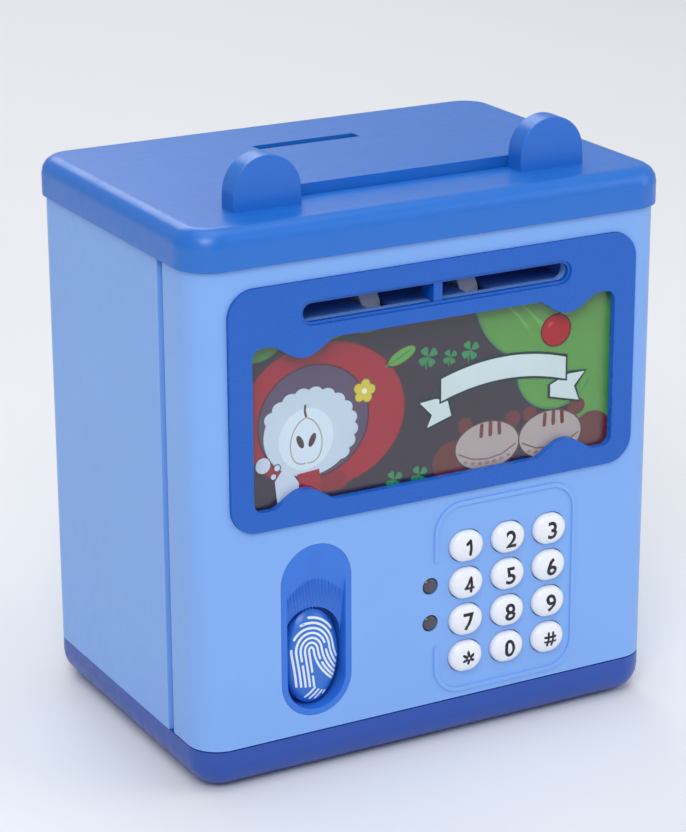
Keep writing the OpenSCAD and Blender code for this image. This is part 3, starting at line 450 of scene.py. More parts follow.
def round_rim(obj, test, radius, segments):
    """Rounds the edges that pass the test, and stays in edit mode."""
    pick(obj, "edges", test)
    bpy.ops.mesh.bevel(offset=radius, segments=segments, profile=0.5, clamp_overlap=True)


def crowned(obj, front, shoulder, deep, dome, rings=3):
    """Rounds the front rim of a block to an elliptical shoulder, and crowns its face."""
    round_rim(obj, at_front(front), shoulder, 8)
    pick(obj, "verts", lambda v: v.co.y < front + shoulder - 0.001 * MM)
    bpy.ops.transform.resize(value=(1, deep / shoulder, 1), center_override=(0, front, 0))
    # The shoulder's foot follows, so that the side wall starts where the shoulder ends
    pick(obj, "verts", lambda v: abs(v.co.y - front - shoulder) < 0.002 * MM)
    bpy.ops.transform.translate(value=(0, deep - shoulder, 0))
    pick(obj, "faces", lambda f: f.normal.y < -0.99 and f.calc_center_median().y < front + 0.001 * MM)
    step = min(obj.dimensions.x, obj.dimensions.z) / 2 - shoulder
    for k in range(rings):
        bpy.ops.mesh.inset(thickness=step / (rings + 0.6))
        bpy.ops.transform.translate(value=(0, -dome * (1 - (k + 0.5) / rings) / rings * 2, 0))
    leave_edit()
    return obj


# ---- flat shapes, laid out in mm as seen from the front, and printed on a surface


def ellipse(x, z, rx, rz, turn=0.0, points=48):
    out = []
    for i in range(points):
        a = 2 * math.pi * i / points
        u, v = rx * math.cos(a), rz * math.sin(a)
        t = math.radians(turn)
        out.append((x + u * math.cos(t) - v * math.sin(t), z + u * math.sin(t) + v * math.cos(t)))
    return out


def stroke(path, width):
    """The outline of a line of even width with round ends, drawn along a path."""
    half = width / 2
    left, right = [], []
    for i, p in enumerate(path):
        a, b = Vector(path[max(i - 1, 0)]), Vector(path[min(i + 1, len(path) - 1)])
        along = (b - a).normalized()
        side = Vector((-along.y, along.x)) * half
        left.append(Vector(p) + side)
        right.append(Vector(p) - side)
    ends = []
    for tip, back in ((path[-1], path[-2]), (path[0], path[1])):
        out = (Vector(tip) - Vector(back)).normalized()
        base = math.atan2(out.y, out.x)
        ends.append([(tip[0] + half * math.cos(base + t), tip[1] + half * math.sin(base + t))
                     for t in (math.pi / 3, math.pi / 6, 0, -math.pi / 6, -math.pi / 3)])
    return [tuple(v) for v in left] + ends[0] + [tuple(v) for v in reversed(right)] + ends[1]


# Signs drawn for digits of this height, because the font's own are thin or don't fill
SIGN_HEIGHT = 5.6 * MM
# The share of the font's size that a figure's height takes
FIGURE_SHARE = 0.7
SIGNS = {
    "1": [stroke([(0.35, -2.35), (0.35, 2.35)], 1.0), stroke([(-0.95, 1.35), (0.35, 2.35)], 0.9)],
    "4": [stroke([(0.7, -2.4), (0.7, 2.3)], 0.95), stroke([(0.6, 2.2), (-1.45, -1.0)], 0.85),
          stroke([(-1.45, -1.05), (1.5, -1.05)], 0.9)],
    "*": [ellipse(1.4 * math.cos(a), 1.4 * math.sin(a), 1.05, 0.52, math.degrees(a), 20)
          for a in [math.radians(30 + 60 * i) for i in range(6)]],
    "#": [stroke([(x - 0.3, -2.1), (x + 0.3, 2.1)], 0.8) for x in (-0.85, 0.85)]
    + [stroke([(-2.0, z), (2.0, z)], 0.75) for z in (-0.8, 0.8)],
}


def flat(name, outline, y):
    """A filled flat outline facing the front at depth y, in metres; the outline is in mm."""
    curve = bpy.data.curves.new(name, "CURVE")
    curve.dimensions = "2D"
    curve.fill_mode = "BOTH"
    line = curve.splines.new("POLY")
    line.points.add(len(outline) - 1)
    for point, (x, z) in zip(line.points, outline):
        point.co = (x * MM, z * MM, 0, 1)
    line.use_cyclic_u = True
    obj = meshed(linked(name, curve))
    obj.rotation_euler = (math.pi / 2, 0, 0)
    obj.location = (0, y, 0)
    return face_front(placed(obj, name))


def face_front(obj):
    """Turns a flat mesh's faces towards the front."""
    pick(obj, "faces", lambda f: f.normal.y > 0)
    bpy.ops.mesh.flip_normals()
    leave_edit()
    return obj


def lettering(name, text, height, x, y, z, weight=0.0):
    """A digit or sign as a flat mesh facing the front, centred on x and z."""
    if text in SIGNS:
        grow = height / SIGN_HEIGHT
        marks = [flat(name, [(x / MM + u * grow, z / MM + v * grow) for u, v in outline], y)
                 for outline in SIGNS[text]]
        return placed(joined(marks), name)
    nothing()
    # A nine is a six turned round, because its own outline doesn't fill when it is thickened
    turned = text == "9"
    bpy.ops.object.text_add(location=(0, 0, 0))
    obj = bpy.context.object
    obj.data.body = "6" if turned else text
    obj.data.size = height / FIGURE_SHARE
    obj.data.offset = weight
    obj.data.resolution_u = 6
    obj = meshed(obj)
    corners = [v.co for v in obj.data.vertices]
    low = Vector([min(c[i] for c in corners) for i in range(3)])
    high = Vector([max(c[i] for c in corners) for i in range(3)])
    obj.data.transform(Matrix.Translation(-(low + high) / 2))
    obj.rotation_euler = (math.pi / 2, math.pi if turned else 0, 0)
    obj.location = (x, y, z)
    return face_front(placed(obj, name))


def printed_on(obj, target, lift=0.03 * MM, cuts=0):
    """Lays a flat print on a curved face, with the thickness of its ink."""
    if cuts:
        pick(obj, "faces", lambda f: True)
        bpy.ops.mesh.quads_convert_to_tris()
        bpy.ops.mesh.subdivide(number_cuts=cuts)
        leave_edit()
    modified(obj, "SHRINKWRAP", target=target, wrap_method="PROJECT", use_project_y=True,
             use_negative_direction=False, use_positive_direction=True, offset=lift)
    return modified(obj, "SOLIDIFY", thickness=2 * lift, offset=-1)


# ---- the pieces


class ShellParts(bpy.types.Operator):
    """Body, base, bottom plate and hinge: the moulded shell that stands on the table"""
    bl_idname = "toy_bank.shell"
    bl_label = "Body and base"

    def execute(self, context):
        edge = context.scene.bank_sizes.edge
        moulding("body_shell", "body_walls", edge, "light_blue_abs", "body")
        moulding("base", "base_skirt", edge, "dark_blue_abs", "body")
        moulding("bottom_plate", "base_plate", edge, "dark_blue_abs", "body")
        moulding("strike_plate", "latch_strike", 0.12 * MM, "steel", "body")
        screws("base_screws", "strike_screws", body="body")
        moulding("hinge_pins", "hinge_rods", 0.2 * MM, "steel")
        return {"FINISHED"}


class FootPads(bpy.types.Operator):
    """Four foam foot pads with softened rims under the base"""
    bl_idname = "toy_bank.feet"
    bl_label = "Foot pads"

    def execute(self, context):
        obj = merged_copy("foot_pads", "foam_feet")
        rounded_edges(obj, 0.3 * MM, 3)
        dress(obj, "foot_foam", body="body", nodes=["foot_pads"])
        return {"FINISHED"}


class Cap(bpy.types.Operator):
    """The cap with its two rounded ears, the print groove and the coin slot"""
    bl_idname = "toy_bank.cap"
    bl_label = "Cap and ears"

    def execute(self, context):
        sizes = context.scene.bank_sizes
        obj = merged_copy("top_cap", "cap_with_ears")
        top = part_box("top_cap")[1].z
        tips = [v.co.y for v in obj.data.vertices if v.co.z > top - 1 * MM]
        faces = (min(tips), max(tips))
        cap_height, margin = 11.4 * MM, 0.2 * MM
        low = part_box("body_shell")[1].z + cap_height + margin
        round_rim(obj, lambda e: all(v.co.z > low for v in e.verts) and any(
            all(abs(v.co.y - y) < 0.01 * MM for v in e.verts) for y in faces), sizes.ear_edge, 5)
        leave_edit()
        rounded_edges(obj, sizes.edge, 2, 50)
        dress(obj, "cap_blue_abs", body="body", nodes=["top_cap"])
        return {"FINISHED"}


class Door(bpy.types.Operator):
    """The light blue door with its keypad ridge, and the royal blue panel round the screen"""
    bl_idname = "toy_bank.door"
    bl_label = "Door and panel"

    def execute(self, context):
        sizes = context.scene.bank_sizes
        moulding("front_door", "door_front", sizes.edge, "light_blue_abs")
        moulding("face_panel", "screen_surround", sizes.panel_edge, "royal_blue_abs", segments=3)
        moulding("screen_window", "screen_lens", 0.2 * MM, "clear_window")
        return {"FINISHED"}


class Keypad(bpy.types.Operator):
    """Twelve crowned white keys with printed digits"""
    bl_idname = "toy_bank.keypad"
    bl_label = "Keys"

    def execute(self, context):
        low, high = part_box("key_1")
        middle = (low + high) / 2
        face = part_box("front_door")[0].y + 0.5 * MM
        flange_out = 1.1 * MM
        width, height = high.x - low.x - 2 * flange_out, high.z - low.z
        flange = face + 2.7 * MM
        rim = low.y + 0.5 * MM
        model = capsule_drum("key_model", width, height, rim, flange + 0.2 * MM)
        crowned(model, rim, 3.0 * MM, 1.9 * MM, 0.35 * MM)
        plate = box("key_plate", (low.x - middle.x, flange, -height / 2 + 1 * MM),
                    (high.x - middle.x, flange + 1.2 * MM, height / 2 - 1 * MM))
        modified(plate, "BEVEL", width=0.25 * MM, segments=2)
        stem = drum("key_stem", 2 * MM, flange + 1 * MM, high.y, sides=32)
        softened(stem, 0.2 * MM)
        joined([model, plate, stem])
        smooth(model, 40)
        for key in KEYS:
            low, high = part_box("key_" + key)
            x, z = (low.x + high.x) / 2, (low.z + high.z) / 2
            obj = linked("keycap_" + key, model.data.copy())
            obj.location = (x, 0, z)
            placed(obj, obj.name)
            sign = lettering("digit_" + key, PRINTS.get(key, key), context.scene.bank_sizes.digit,
                             x, low.y - 1 * MM, z, 0.15 * MM)
            printed_on(sign, obj, lift=0.04 * MM, cuts=5)
            dress(obj, "white_key", body="key_" + key, nodes=["key_" + key])
            dress(sign, "key_ink", "key_" + key)
        bpy.data.objects.remove(model)
        return {"FINISHED"}


def finger_print(reach_x, reach_z, step):
    """The lines of a made-up finger print: nested loops that lean, and a fan of lines under them."""
    lines = []
    lean = math.radians(-7)

    def kept(path, shortest=3):
        """Turns a path by the lean, cuts it to the print's oval and splits it where it leaves it."""
        part = []
        for u, v in path + [(99, 99)]:
            x, z = u * math.cos(lean) + v * math.sin(lean), -u * math.sin(lean) + v * math.cos(lean)
            if (x / reach_x) ** 2 + (z / reach_z) ** 2 < 1:
                part.append((x, z))
            else:
                if len(part) > shortest:
                    lines.append(part)
                part = []

    core_x, core_z, core_r, foot = -0.8, 2.8, 0.75, -8.4
    for k in range(8):
        r = core_r + k * step
        tall = 0.35 + 1.12 * r
        path = [(core_x - r + 0.03 * (core_z - v), v)
                for v in [foot + 0.32 * k + 0.4 * i for i in range(60)] if v < core_z]
        path += [(core_x - r * math.cos(t), core_z + tall * math.sin(t))
                 for t in [math.pi * i / 26 for i in range(1, 26)]]
        # The right leg sweeps outwards as it comes down
        path += [(core_x + r + 0.042 * (core_z - v) ** 2, v)
                 for v in [core_z - 0.35 * i for i in range(1, 44)]]
        # A break along the line, moved on from one loop to the next
        gap = (9, 62, 18, 50, 27, 70, 34, 44)[k]
        kept(path[:gap])
        kept(path[gap + 3:])
    for k in range(5):
        # Short lines fan out under the loops, from the lower left up towards the middle
        kept([(-4.4 + 1.7 * k + (3.4 - 0.6 * k) * t,
               -11.5 - 0.9 * k + 0.14 * k * k + (2.2 - 0.3 * k) * t + 0.3 * t * t)
              for t in [i / 10 for i in range(11)]])
    return lines


class FingerPad(bpy.types.Operator):
    """The crowned finger pad with its white print, and the ribbed channel above it"""
    bl_idname = "toy_bank.finger_pad"
    bl_label = "Finger pad and channel"

    def execute(self, context):
        sizes = context.scene.bank_sizes
        low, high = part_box("finger_pad")
        middle = (low + high) / 2
        wide, tall = high.x - low.x, high.z - low.z
        pad = self.oval_block(wide, tall, low.y + 0.1 * MM, low.y + 5 * MM)
        stem = drum("pad_stem", 3.1 * MM, low.y + 4.9 * MM, high.y, sides=40)
        clip = drum("pad_clip", 4.4 * MM, high.y - 0.9 * MM, high.y, sides=40)
        softened(clip, 0.2 * MM)
        joined([pad, stem, clip])
        pad.location = (middle.x, 0, middle.z)
        placed(pad, "pad_face")
        smooth(pad, 40)
        reach_x, reach_z = 7.5, 13.0
        marks = []
        for path in finger_print(reach_x, reach_z, sizes.print_step / MM):
            marks.append(flat("print_line", [(x + middle.x / MM, z + middle.z / MM) for x, z in
                                             stroke(path, sizes.print_line / MM)], low.y - 2 * MM))
        print_mesh = joined(marks, "pad_print")
        printed_on(print_mesh, pad, lift=0.04 * MM, cuts=2)
        dress(pad, "pad_abs", "finger_pad", ["finger_pad"])
        dress(print_mesh, "print_ink", "finger_pad")
        moulding("finger_channel", "finger_recess", 0.3 * MM, "channel_abs")
        self.ribs(sizes)
        return {"FINISHED"}

    def oval_block(self, wide, tall, front, back):
        """A block with an oval outline, whose face is crowned by one round arc each way."""
        nothing()
        obj = drum("pad_face", 0.5, 0, 1, sides=72)
        # Rings of faces towards the middle, each moved forwards to lie on the crown
        pick(obj, "faces", lambda f: f.normal.y < -0.9)
        rings, crown = 12, 2.6 * MM
        for _ in range(rings):
            bpy.ops.mesh.inset(thickness=0.5 / (rings + 0.5))
        leave_edit()
        for v in obj.data.vertices:
            out = min(math.hypot(v.co.x, v.co.z) / 0.5, 1)
            rise = crown * (1 - (1 - out ** 3.2) ** 0.62)
            v.co = (v.co.x * wide, back if v.co.y > 0.5 else front + rise, v.co.z * tall)
        return obj

    def ribs(self, sizes):
        """Fine ribs that run down the hollow floor of the channel."""
        low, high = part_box("finger_channel")
        # The lip round the channel is hidden behind the door, so the face plane is the box's front
        x, face, hollow, lip = (low.x + high.x) / 2, low.y, 22 * MM, 1.8 * MM
        well_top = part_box("finger_pad")[1].z + 0.6 * MM
        head = high.z - lip - 1.6 * MM
        slope = math.atan2(4 * MM, head - well_top)
        ribs = []
        for i in range(sizes.ribs):
            turn = math.asin(8.3 * MM * (2 * i / (sizes.ribs - 1) - 1) / hollow)
            sag = hollow * (1 - math.cos(turn))
            start = (0.35 * MM + sag * math.cos(slope)) / math.sin(slope)
            end = (head - well_top) / math.cos(slope) - 1.2 * MM
            rod = drum("channel_rib", sizes.rib, -(end - start) / 2, (end - start) / 2, sides=8)
            softened(rod, 0.6 * sizes.rib)
            rod.data.transform(Matrix.Rotation(-math.pi / 2 - slope, 4, "X"))
            down = Vector((0, math.sin(slope), -math.cos(slope)))
            out = Vector((0, math.cos(slope), math.sin(slope)))
            spot = Vector((x + hollow * math.sin(turn), face, head)) + down * (start + end) / 2 - out * sag
            rod.data.transform(Matrix.Translation(spot))
            ribs.append(rod)
        dress(smooth(joined(ribs, "channel_ribs"), 50), "channel_abs", "door")


class StatusLights(bpy.types.Operator):
    """Two smoked status lights beside the keypad"""
    bl_idname = "toy_bank.lights"
    bl_label = "Status lights"

    def execute(self, context):
        for node in ("led_upper", "led_lower"):
            obj = merged_copy(node, node.replace("led", "light"))
            dome = 1.5 * MM
            round_rim(obj, at_front(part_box(node)[0].y), dome, 7)
            leave_edit()
            dress(smooth(obj), "smoked_lens", body="door", nodes=[node])
        return {"FINISHED"}


LEAF_EDGE, CLOVER_GREEN, BLOSSOM, FLESH = "#3a9256", "#2f9152", "#d8dde4", "#d4dce1"


class Card(bpy.types.Operator):
    """The picture card: a garden with a cut apple, bushes, clovers, a ribbon and two acorns"""
    bl_idname = "toy_bank.card"
    bl_label = "Picture card"

    def execute(self, context):
        self.low, self.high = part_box("picture_card")
        # The sheet is set back by this much, and the inks build up in front of it
        ink_room = 0.2 * MM
        self.layers, self.y = {}, self.low.y + ink_room
        ground = merged_copy("picture_card", "card_sheet")
        pick(ground, "verts", lambda v: v.co.y < self.low.y + 0.01 * MM)
        bpy.ops.transform.translate(value=(0, ink_room, 0))
        leave_edit()
        dress(smooth(ground), "printed_card", body="door", nodes=["picture_card"])
        self.bushes()
        self.apple()
        self.flower(-22.5, 113.0, 3.5)
        for x, z, r in ((-1.9, 119.8, 3.1), (5.3, 118.6, 2.3), (12.0, 119.6, 2.9),
                        (-12.9, 84.9, 2.7), (-4.7, 84.9, 2.7)):
            self.clover(x, z, r)
        self.acorns()
        self.ribbon()
        self.fruit(40.8, 121.2, 4.8)
        for tone, shapes in self.layers.items():
            dress(joined(shapes, "card_print_" + tone[1:]), tone, "door")
        return {"FINISHED"}

    def lay(self, tone, outline):
        """Prints one shape over those before it, cut off at the card's edges."""
        self.y -= 0.0018 * MM
        obj = flat("print_shape", outline, self.y)
        for edge, normal in ((self.low.x, (-1, 0, 0)), (self.high.x, (1, 0, 0)),
                             (self.low.z, (0, 0, -1)), (self.high.z, (0, 0, 1))):
            inset = Vector(normal) * -0.5 * MM
            spot = Vector((edge if normal[0] else 0, 0, edge if normal[2] else 0)) + inset
            pick(obj, "faces", lambda f: True)
            bpy.ops.mesh.bisect(plane_co=spot, plane_no=normal, clear_outer=True)
            leave_edit()
        if len(obj.data.polygons):
            if tone not in FINISHES:
                FINISHES[tone] = ink("Card ink " + tone[1:], tone, 0.7, 0.05)
            self.layers.setdefault(tone, []).append(obj)
        else:
            bpy.data.objects.remove(obj)

    def outlined(self, tone, line, width, x, z, rx, rz, turn=0.0):
        """Prints an ellipse with an outline of the given width round it."""
        self.lay(line, ellipse(x, z, rx + width, rz + width, turn, 72))
        self.lay(tone, ellipse(x, z, rx, rz, turn, 72))

    def bushes(self):
        edge, leaf, pale = LEAF_EDGE, "#5fa03c", "#74bb4c"
        for x, z, rx, rz in ((-57, 133.5, 9, 6.5), (-35, 136.5, 11, 6.5), (-21.5, 136.0, 7.2, 5.6)):
            self.outlined(leaf, edge, 0.5, x, z, rx, rz)
        self.outlined(leaf, edge, 0.6, 57, 108, 13, 18)
        self.outlined(leaf, edge, 0.6, 41, 110, 12.6, 12.2)
        self.outlined(leaf, edge, 0.7, 35.8, 135.6, 21.8, 21.8)
        self.lay(leaf, ellipse(52, 119, 12, 14))
        for (x0, z0), (x1, z1) in (((24, 131), (31, 123.5)), ((28, 131.5), (36.5, 122.5)),
                                   ((33, 126.5), (38, 121.2))):
            self.lay(pale, stroke([(x0, z0), ((x0 + x1) / 2 + 0.4, (z0 + z1) / 2 + 0.4), (x1, z1)], 0.8))

    def apple(self):
        line, red, dark = "#4c1a26", "#ae1129", "#951224"
        self.outlined(red, line, 0.6, -35.5, 108.0, 26.0, 21.4, -8)
        self.lay(line, ellipse(-10.4, 121.4, 5.3, 2.5, 24))
        self.lay("#68ab42", ellipse(-10.4, 121.4, 4.7, 1.9, 24))
        self.lay(LEAF_EDGE, stroke([(-15.6, 119.0), (-11, 121.1), (-7.4, 122.9)], 0.45))
        self.lay(dark, ellipse(-39.0, 91.3, 12, 4.6, -22))
        # The cut face: a band of plum skin, then pale flesh with a scalloped edge
        self.outlined("#5d4862", line, 0.5, -38.6, 106.8, 17.2, 16.2, -12)
        for i in range(12):
            a = math.radians(-38 + 17 * i)
            self.lay(FLESH, ellipse(-40.2 + 13.1 * math.cos(a), 103.4 + 11.4 * math.sin(a), 2.6, 2.2))
        self.lay(FLESH, ellipse(-40.2, 103.2, 14.2, 12.2, -10, 72))
        self.lay("#e6ecee", ellipse(-41, 102, 8.6, 9.0, -10, 60))
        for side in (-1, 1):
            # The core's two chambers, each with a seed
            heart = [(-41 + side * (0.4 + 4.6 * math.sin(t)), 101.5 + 6.6 * math.cos(t) - 1.2 * math.sin(t))
                     for t in [math.pi * i / 18 for i in range(19)]]
            self.lay("#b9a9a0", stroke(heart, 0.45))
            self.lay("#4a2c26", ellipse(-41 + side * 1.9, 101.4, 0.95, 2.1, side * -24, 24))
        self.lay("#5a3b2e", stroke([(-41, 108.6), (-41.4, 110.2), (-41.2, 111.8)], 0.7))
        for x, z, r in ((-54.6, 96.4, 2.3), (-50.2, 95.0, 0.9), (-51.4, 92.6, 0.8)):
            self.outlined(BLOSSOM, line, 0.3, x, z, r, r)
        self.lay(BLOSSOM, [(-51, 91), (-47.5, 95.6), (-43.4, 89.4), (-44, 82), (-50, 82)])
        self.lay(red, [(-44, 92), (-37, 92.5), (-36, 82), (-41, 82)])
        self.lay(BLOSSOM, [(-40, 81), (-38.8, 85.4), (-37.2, 81)])

    def flower(self, x, z, r):
        petals = [(x + 0.6 * r * math.sin(a), z + 0.6 * r * math.cos(a)) for a in
                  [math.radians(10 + 72 * i) for i in range(5)]]
        for px, pz in petals:
            self.lay("#7a5a2c", ellipse(px, pz, 0.5 * r, 0.5 * r))
        for px, pz in petals:
            self.lay("#e6cb3c", ellipse(px, pz, 0.4 * r, 0.4 * r))
        self.lay("#f4efcf", ellipse(x, z, 0.24 * r, 0.24 * r))

    def clover(self, x, z, r):
        for i in range(4):
            a = math.radians(30 + 90 * i)
            # A heart-shaped leaf: narrow at the stem and notched at its outer end
            leaf = [(0.06, 0), (0.5, 0.3), (0.82, 0.4), (1.0, 0.28), (1.04, 0.12), (0.94, 0),
                    (1.04, -0.12), (1.0, -0.28), (0.82, -0.4), (0.5, -0.3)]
            self.lay(CLOVER_GREEN, [(x + r * (u * math.cos(a) - v * math.sin(a)),
                                  z + r * (u * math.sin(a) + v * math.cos(a))) for u, v in leaf])
        stalk = [(x, z), (x - 0.25 * r, z - 0.6 * r), (x - 0.2 * r, z - 1.1 * r)]
        self.lay(CLOVER_GREEN, stroke(stalk, 0.16 * r))

    def acorns(self):
        for x, z, rx, rz in ((6.5, 87, 6.8, 6.2), (54.0, 88, 6.6, 6.4), (10.5, 97, 2.4, 2.6),
                             (26.6, 96.6, 2.6, 2.6), (32.4, 97, 2.4, 2.4), (48.4, 96.8, 3, 2.6)):
            self.lay("#6f2724", ellipse(x, z, rx, rz))
        for x, z in ((18.0, 89.8), (39.5, 89.6)):
            self.outlined("#bfaaa0", "#5b3934", 0.45, x, z, 10.6, 7.2, -2)
            for i in (-1, 0, 1):
                stripe = [(x + 2.9 * i + 1, z + 6.8 - 0.4 * abs(i)), (x + 3.0 * i + 1, z + 4.8),
                          (x + 3.1 * i + 1, z + 3.2)]
                self.lay("#7a2f2f", stroke(stripe, 1.25))
            # A cup line and a row of small dots under it make it an acorn lying on its side
            self.lay("#8d6a5e", stroke([(x - 9.6, z - 1.2), (x - 5, z - 3.4), (x, z - 4.1), (x + 5, z - 3.4),
                                        (x + 9.6, z - 1.0)], 0.5))
            for i in range(-3, 4):
                self.lay("#a58476", ellipse(x + 2.4 * i, z - 5.2 + 0.12 * i * i, 0.8, 0.5))

    def ribbon(self):
        line, white = "#24403f", "#dfe9e7"

        def arch(x):
            """Height of the band's lower edge at x."""
            return 105.8 + 3.4 * (1 - ((x - 23.4) / 21) ** 2)

        def tail(pts):
            """One folded end of the ribbon, with its outline grown from the middle."""
            middle = Vector((sum(p[0] for p in pts) / len(pts), sum(p[1] for p in pts) / len(pts)))
            grown = [tuple(Vector(p) + (Vector(p) - middle).normalized() * 0.95) for p in pts]
            self.lay(line, grown)
            self.lay(white, list(pts))

        tail([(-4.6, 106.4), (0.6, 106.9), (4.6, 105.6), (5.8, 101.0), (-2.2, 98.6), (-0.6, 102.2)])
        tail([(51.0, 107.2), (45.4, 107.2), (39.2, 104.8), (39.2, 101.2), (49.2, 98.6), (47.4, 103.2)])
        xs = [2.4 + 42 * i / 24 for i in range(25)]
        ends = {xs[0]: -0.6, xs[-1]: 0.6}
        self.lay(line, [(x + ends.get(x, 0), arch(x) - 0.7) for x in xs]
                 + [(x + ends.get(x, 0), arch(x) + 7.5) for x in reversed(xs)])
        self.lay(white, [(x, arch(x)) for x in xs] + [(x, arch(x) + 6.7) for x in reversed(xs)])

    def fruit(self, x, z, r):
        self.outlined("#bf2531", "#54201f", 0.4, x, z, r, 0.96 * r)
        self.lay("#d8525a", ellipse(x - 0.42 * r, z + 0.42 * r, 0.2 * r, 0.11 * r, 35))
        stalk = [(x + 0.5, z + r - 0.8), (x + 1.2, z + r + 0.6), (x + 2.4, z + r + 1.6)]
        self.lay("#54301f", stroke(stalk, 0.5))
        self.lay("#8fc255", ellipse(x + 3.6, z + r + 0.2, 1.9, 0.9, -12))


class Feeder(bpy.types.Operator):
    """The bank-note feeder: rollers with tyres and hubs, shafts, gears and their frame"""
    bl_idname = "toy_bank.feeder"
    bl_label = "Note feeder"

    def execute(self, context):
        moulding("feed_housing", "feeder_frame", 0.2 * MM, "feeder_abs")
        moulding("feed_shaft", "feed_rod", 0.25 * MM, "steel", "feed_drive")
        moulding("pressure_shaft", "pressure_rod", 0.25 * MM, "steel", "pressure_drive")
        moulding("feed_gear", "feed_spur_gear", 0.08 * MM, "white_nylon", "feed_drive")
        moulding("motor_pinion", "motor_spur_gear", 0.06 * MM, "white_nylon", "motor_rotor")
        moulding("feed_motor", "motor_can", 0.5 * MM, "steel", segments=3)
        moulding("feed_screws", "feeder_fasteners", 0.15 * MM, "steel")
        self.rollers("feed_rollers", "note_rollers", "white_nylon", "feed_drive")
        self.rollers("pressure_rollers", "pinch_rollers", "black_rubber", "pressure_drive")
        return {"FINISHED"}

    def rollers(self, node, name, finish_name, body):
        """Two rollers: a tyre with rounded rims, and a dished hub on each side."""
        low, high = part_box(node)
        radius = (high.y - low.y) / 2
        y, z = (low.y + high.y) / 2, (low.z + high.z) / 2
        spots = sorted({round(v.co.x, 6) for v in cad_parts[node].data.vertices})
        width = spots[1] - spots[0]
        made = []
        for left in (spots[0], spots[-1] - width):
            tyre = drum(name, radius, left, left + width, x=y, z=z, sides=64, along="X")
            pick(tyre, "faces", lambda f: abs(f.normal.x) > 0.9)
            bpy.ops.mesh.inset(thickness=0.32 * radius, use_individual=True)
            for side in (-1, 1):
                pick(tyre, "faces", lambda f: f.normal.x * side > 0.9 and len(f.verts) > 8)
                bpy.ops.transform.translate(value=(-side * 0.8 * MM, 0, 0))
            leave_edit()
            made.append(softened(tyre, 0.45 * MM, 3, angle_limit=math.radians(40)))
        dress(smooth(joined(made), 40), finish_name, body=body, nodes=[node])


class LatchParts(bpy.types.Operator):
    """The motor latch: frame, motor, gear, bolt and screws"""
    bl_idname = "toy_bank.latch"
    bl_label = "Latch"

    def execute(self, context):
        moulding("latch_frame", "latch_bracket", 0.2 * MM, "feeder_abs")
        moulding("latch_motor", "latch_motor_can", 0.4 * MM, "black_plastic")
        moulding("latch_gear", "latch_spur_gear", 0.08 * MM, "white_nylon", "latch_gear")
        moulding("latch_bolt", "latch_slide_bolt", 0.12 * MM, "steel", "latch_bolt")
        screws("latch_screws")
        return {"FINISHED"}


class Boards(bpy.types.Operator):
    """Circuit boards, key mat, switch and the speaker behind the door"""
    bl_idname = "toy_bank.boards"
    bl_label = "Boards and speaker"

    def execute(self, context):
        moulding("main_board", "keypad_board", 0.1 * MM, "green_board")
        moulding("sensor_board", "finger_board", 0.1 * MM, "green_board")
        moulding("key_membrane", "key_mat", 0.3 * MM, "grey_silicone")
        moulding("finger_switch", "pad_switch", 0.15 * MM, "black_plastic")
        screws("board_screws")
        moulding("speaker", "speaker_driver", 0.3 * MM, "black_plastic")
        moulding("speaker_clamp", "speaker_ring", 0.25 * MM, "feeder_abs")
        screws("speaker_screws")
        return {"FINISHED"}


class DoorCover(bpy.types.Operator):
    """The cover behind the door with its speaker holes, battery bay, lid, contacts and coil springs"""
    bl_idname = "toy_bank.cover"
    bl_label = "Door cover and battery bay"

    def execute(self, context):
        edge = context.scene.bank_sizes.edge
        moulding("door_cover", "door_back", edge, "cover_abs")
        screws("cover_screws")
        moulding("battery_cover", "battery_lid_plate", 0.3 * MM, "cover_abs", "battery_lid")
        moulding("battery_screw", "lid_fastener", 0.15 * MM, "steel", "battery_lid")
        moulding("battery_contacts", "contact_plates", 0.08 * MM, "steel")
        self.springs()
        return {"FINISHED"}

    def springs(self):
        """A tapered coil of wire in place of each battery spring."""
        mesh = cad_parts["battery_springs"].data
        low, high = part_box("battery_springs")
        middle = (low.x + high.x) / 2
        found = {}
        for v in mesh.vertices:
            side = -1 if v.co.x < middle else 1
            found.setdefault(side, []).append(v.co.copy())
        coils = []
        for side, points in found.items():
            # The springs at one end of the bay are told apart by the gaps between them in z
            rows = []
            for z in sorted(p.z for p in points):
                if rows and z - rows[-1][1] < 2 * MM:
                    rows[-1][1] = z
                else:
                    rows.append([z, z])
            for z0, z1 in rows:
                own = [p for p in points if z0 - MM < p.z < z1 + MM]
                x0, x1 = min(p.x for p in own), max(p.x for p in own)
                y0, y1 = min(p.y for p in own), max(p.y for p in own)
                foot, tip = (x0, x1) if side < 0 else (x1, x0)
                coils.append(self.coil(foot, tip, (y0 + y1) / 2, (z0 + z1) / 2, (y1 - y0) / 2))
        dress(smooth(joined(coils), 60), "steel", body="door", nodes=["battery_springs"])

    def coil(self, foot, tip, y, z, radius):
        """A spring's wire, wound along x from its wide foot to its narrower tip."""
        wire = 0.35 * MM
        curve = bpy.data.curves.new("battery_coils", "CURVE")
        curve.dimensions = "3D"
        curve.bevel_depth = wire
        curve.bevel_resolution = 2
        curve.use_fill_caps = True
        line = curve.splines.new("POLY")
        turns, steps = 4.5, 24
        count = int(turns * steps) + 1
        line.points.add(count - 1)
        for i, point in enumerate(line.points):
            t = i / (count - 1)
            r = (radius - wire) * (1 - 0.4 * t)
            a = 2 * math.pi * turns * t
            x = foot + (tip - foot) * t + (wire if tip > foot else -wire) * (1 - 2 * t)
            point.co = (x, y + r * math.cos(a), z + r * math.sin(a), 1)
        return meshed(linked("battery_coils", curve))


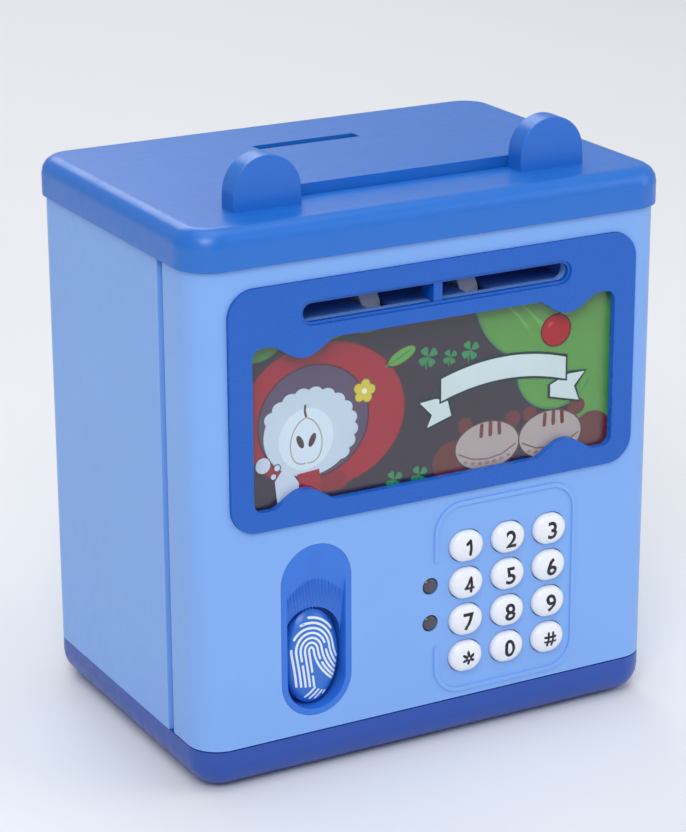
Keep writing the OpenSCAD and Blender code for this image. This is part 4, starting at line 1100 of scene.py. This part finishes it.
class Stage(bpy.types.Operator):
    """The pale floor, the soft lights and the camera"""
    bl_idname = "toy_bank.stage"
    bl_label = "Floor, lights and camera"

    def execute(self, context):
        scene = context.scene
        nothing()
        bpy.ops.mesh.primitive_plane_add(size=6, location=(0, 0, 0))
        floor = placed(context.object, "floor")
        floor.data.materials.append(finish("Matt studio floor", "#e9eaec", 0.7, patch=400, variation=0.01,
                                           rough_patch=60, rough_range=0.03, grain=1.5, depth=0.003))
        world = scene.world or bpy.data.worlds.new("Studio")
        scene.world = world
        world.use_nodes = True
        back = world.node_tree.nodes["Background"]
        back.inputs["Color"].default_value = linear("#f1f4fa")
        back.inputs["Strength"].default_value = 0.47
        aim = Vector((0, 0, 0.09))
        for name, spot, size, power, tint in (
                ("key_light", (-0.9, -1.3, 1.5), 1.1, 20, "#ffffff"),
                ("fill_light", (1.5, -1.0, 0.9), 1.4, 7.5, "#eef4ff"),
                ("back_light", (0.3, 1.6, 1.3), 1.2, 8, "#ffffff"),
                ("top_light", (0.0, -0.1, 1.9), 1.6, 9.5, "#ffffff")):
            lamp = bpy.data.lights.new(name, "AREA")
            lamp.shape = "DISK"
            lamp.size = size
            lamp.energy = power
            lamp.color = linear(tint)[:3]
            obj = linked(name, lamp)
            obj.location = spot
            obj.rotation_euler = (aim - Vector(spot)).to_track_quat("-Z", "Y").to_euler()
        lens = bpy.data.cameras.new("camera")
        lens.lens = 122.0
        lens.sensor_width = 36.0
        lens.clip_start = 0.05
        camera = linked("camera", lens)
        ahead = Vector((0.45307, 0.82944, -0.32675)).normalized()
        up = Vector((0.1603, 0.2848, 0.9451))
        side = ahead.cross(up).normalized()
        up = side.cross(ahead)
        camera.matrix_world = Matrix.Translation((-0.386, -0.703, 0.364)) @ Matrix(
            (side, up, -ahead)).transposed().to_4x4()
        scene.camera = camera
        scene.view_settings.view_transform = "Standard"
        return {"FINISHED"}


STEPS = [ShellParts, FootPads, Cap, Door, Keypad, FingerPad, StatusLights, Card, Feeder, LatchParts,
         Boards, DoorCover, Stage]
FINISHES = {}


class BankPanel(bpy.types.Panel):
    """Lists the bank's pieces, sizes and colours in the sidebar"""
    bl_idname = "TOYBANK_PT_main"
    bl_label = "Toy Cash-Machine Bank"
    bl_space_type = "VIEW_3D"
    bl_region_type = "UI"
    bl_category = "Toy Bank"

    def draw(self, context):
        for step in STEPS:
            self.layout.operator(step.bl_idname)
        for group in (context.scene.bank_sizes, context.scene.bank_colours):
            for name in group.bl_rna.properties.keys():
                if name not in ("rna_type", "name"):
                    self.layout.prop(group, name)


def register():
    for kind in [BankColours, BankSizes, *STEPS, BankPanel]:
        bpy.utils.register_class(kind)
    bpy.types.Scene.bank_colours = PointerProperty(type=BankColours)
    bpy.types.Scene.bank_sizes = PointerProperty(type=BankSizes)


def unregister():
    del bpy.types.Scene.bank_sizes
    del bpy.types.Scene.bank_colours
    for kind in reversed([BankColours, BankSizes, *STEPS, BankPanel]):
        bpy.utils.unregister_class(kind)


def main():
    register()
    FINISHES.update(materials())
    FINISHES["key_ink"] = ink("Pad-print ink, black", bpy.context.scene.bank_colours.ink, 0.35)
    FINISHES["print_ink"] = ink("Pad-print ink, white", "#e4ecf8", 0.4)
    for step in STEPS:
        group, name = step.bl_idname.split(".")
        getattr(getattr(bpy.ops, group), name)()
    nothing()


if __name__ == "__main__":
    main()
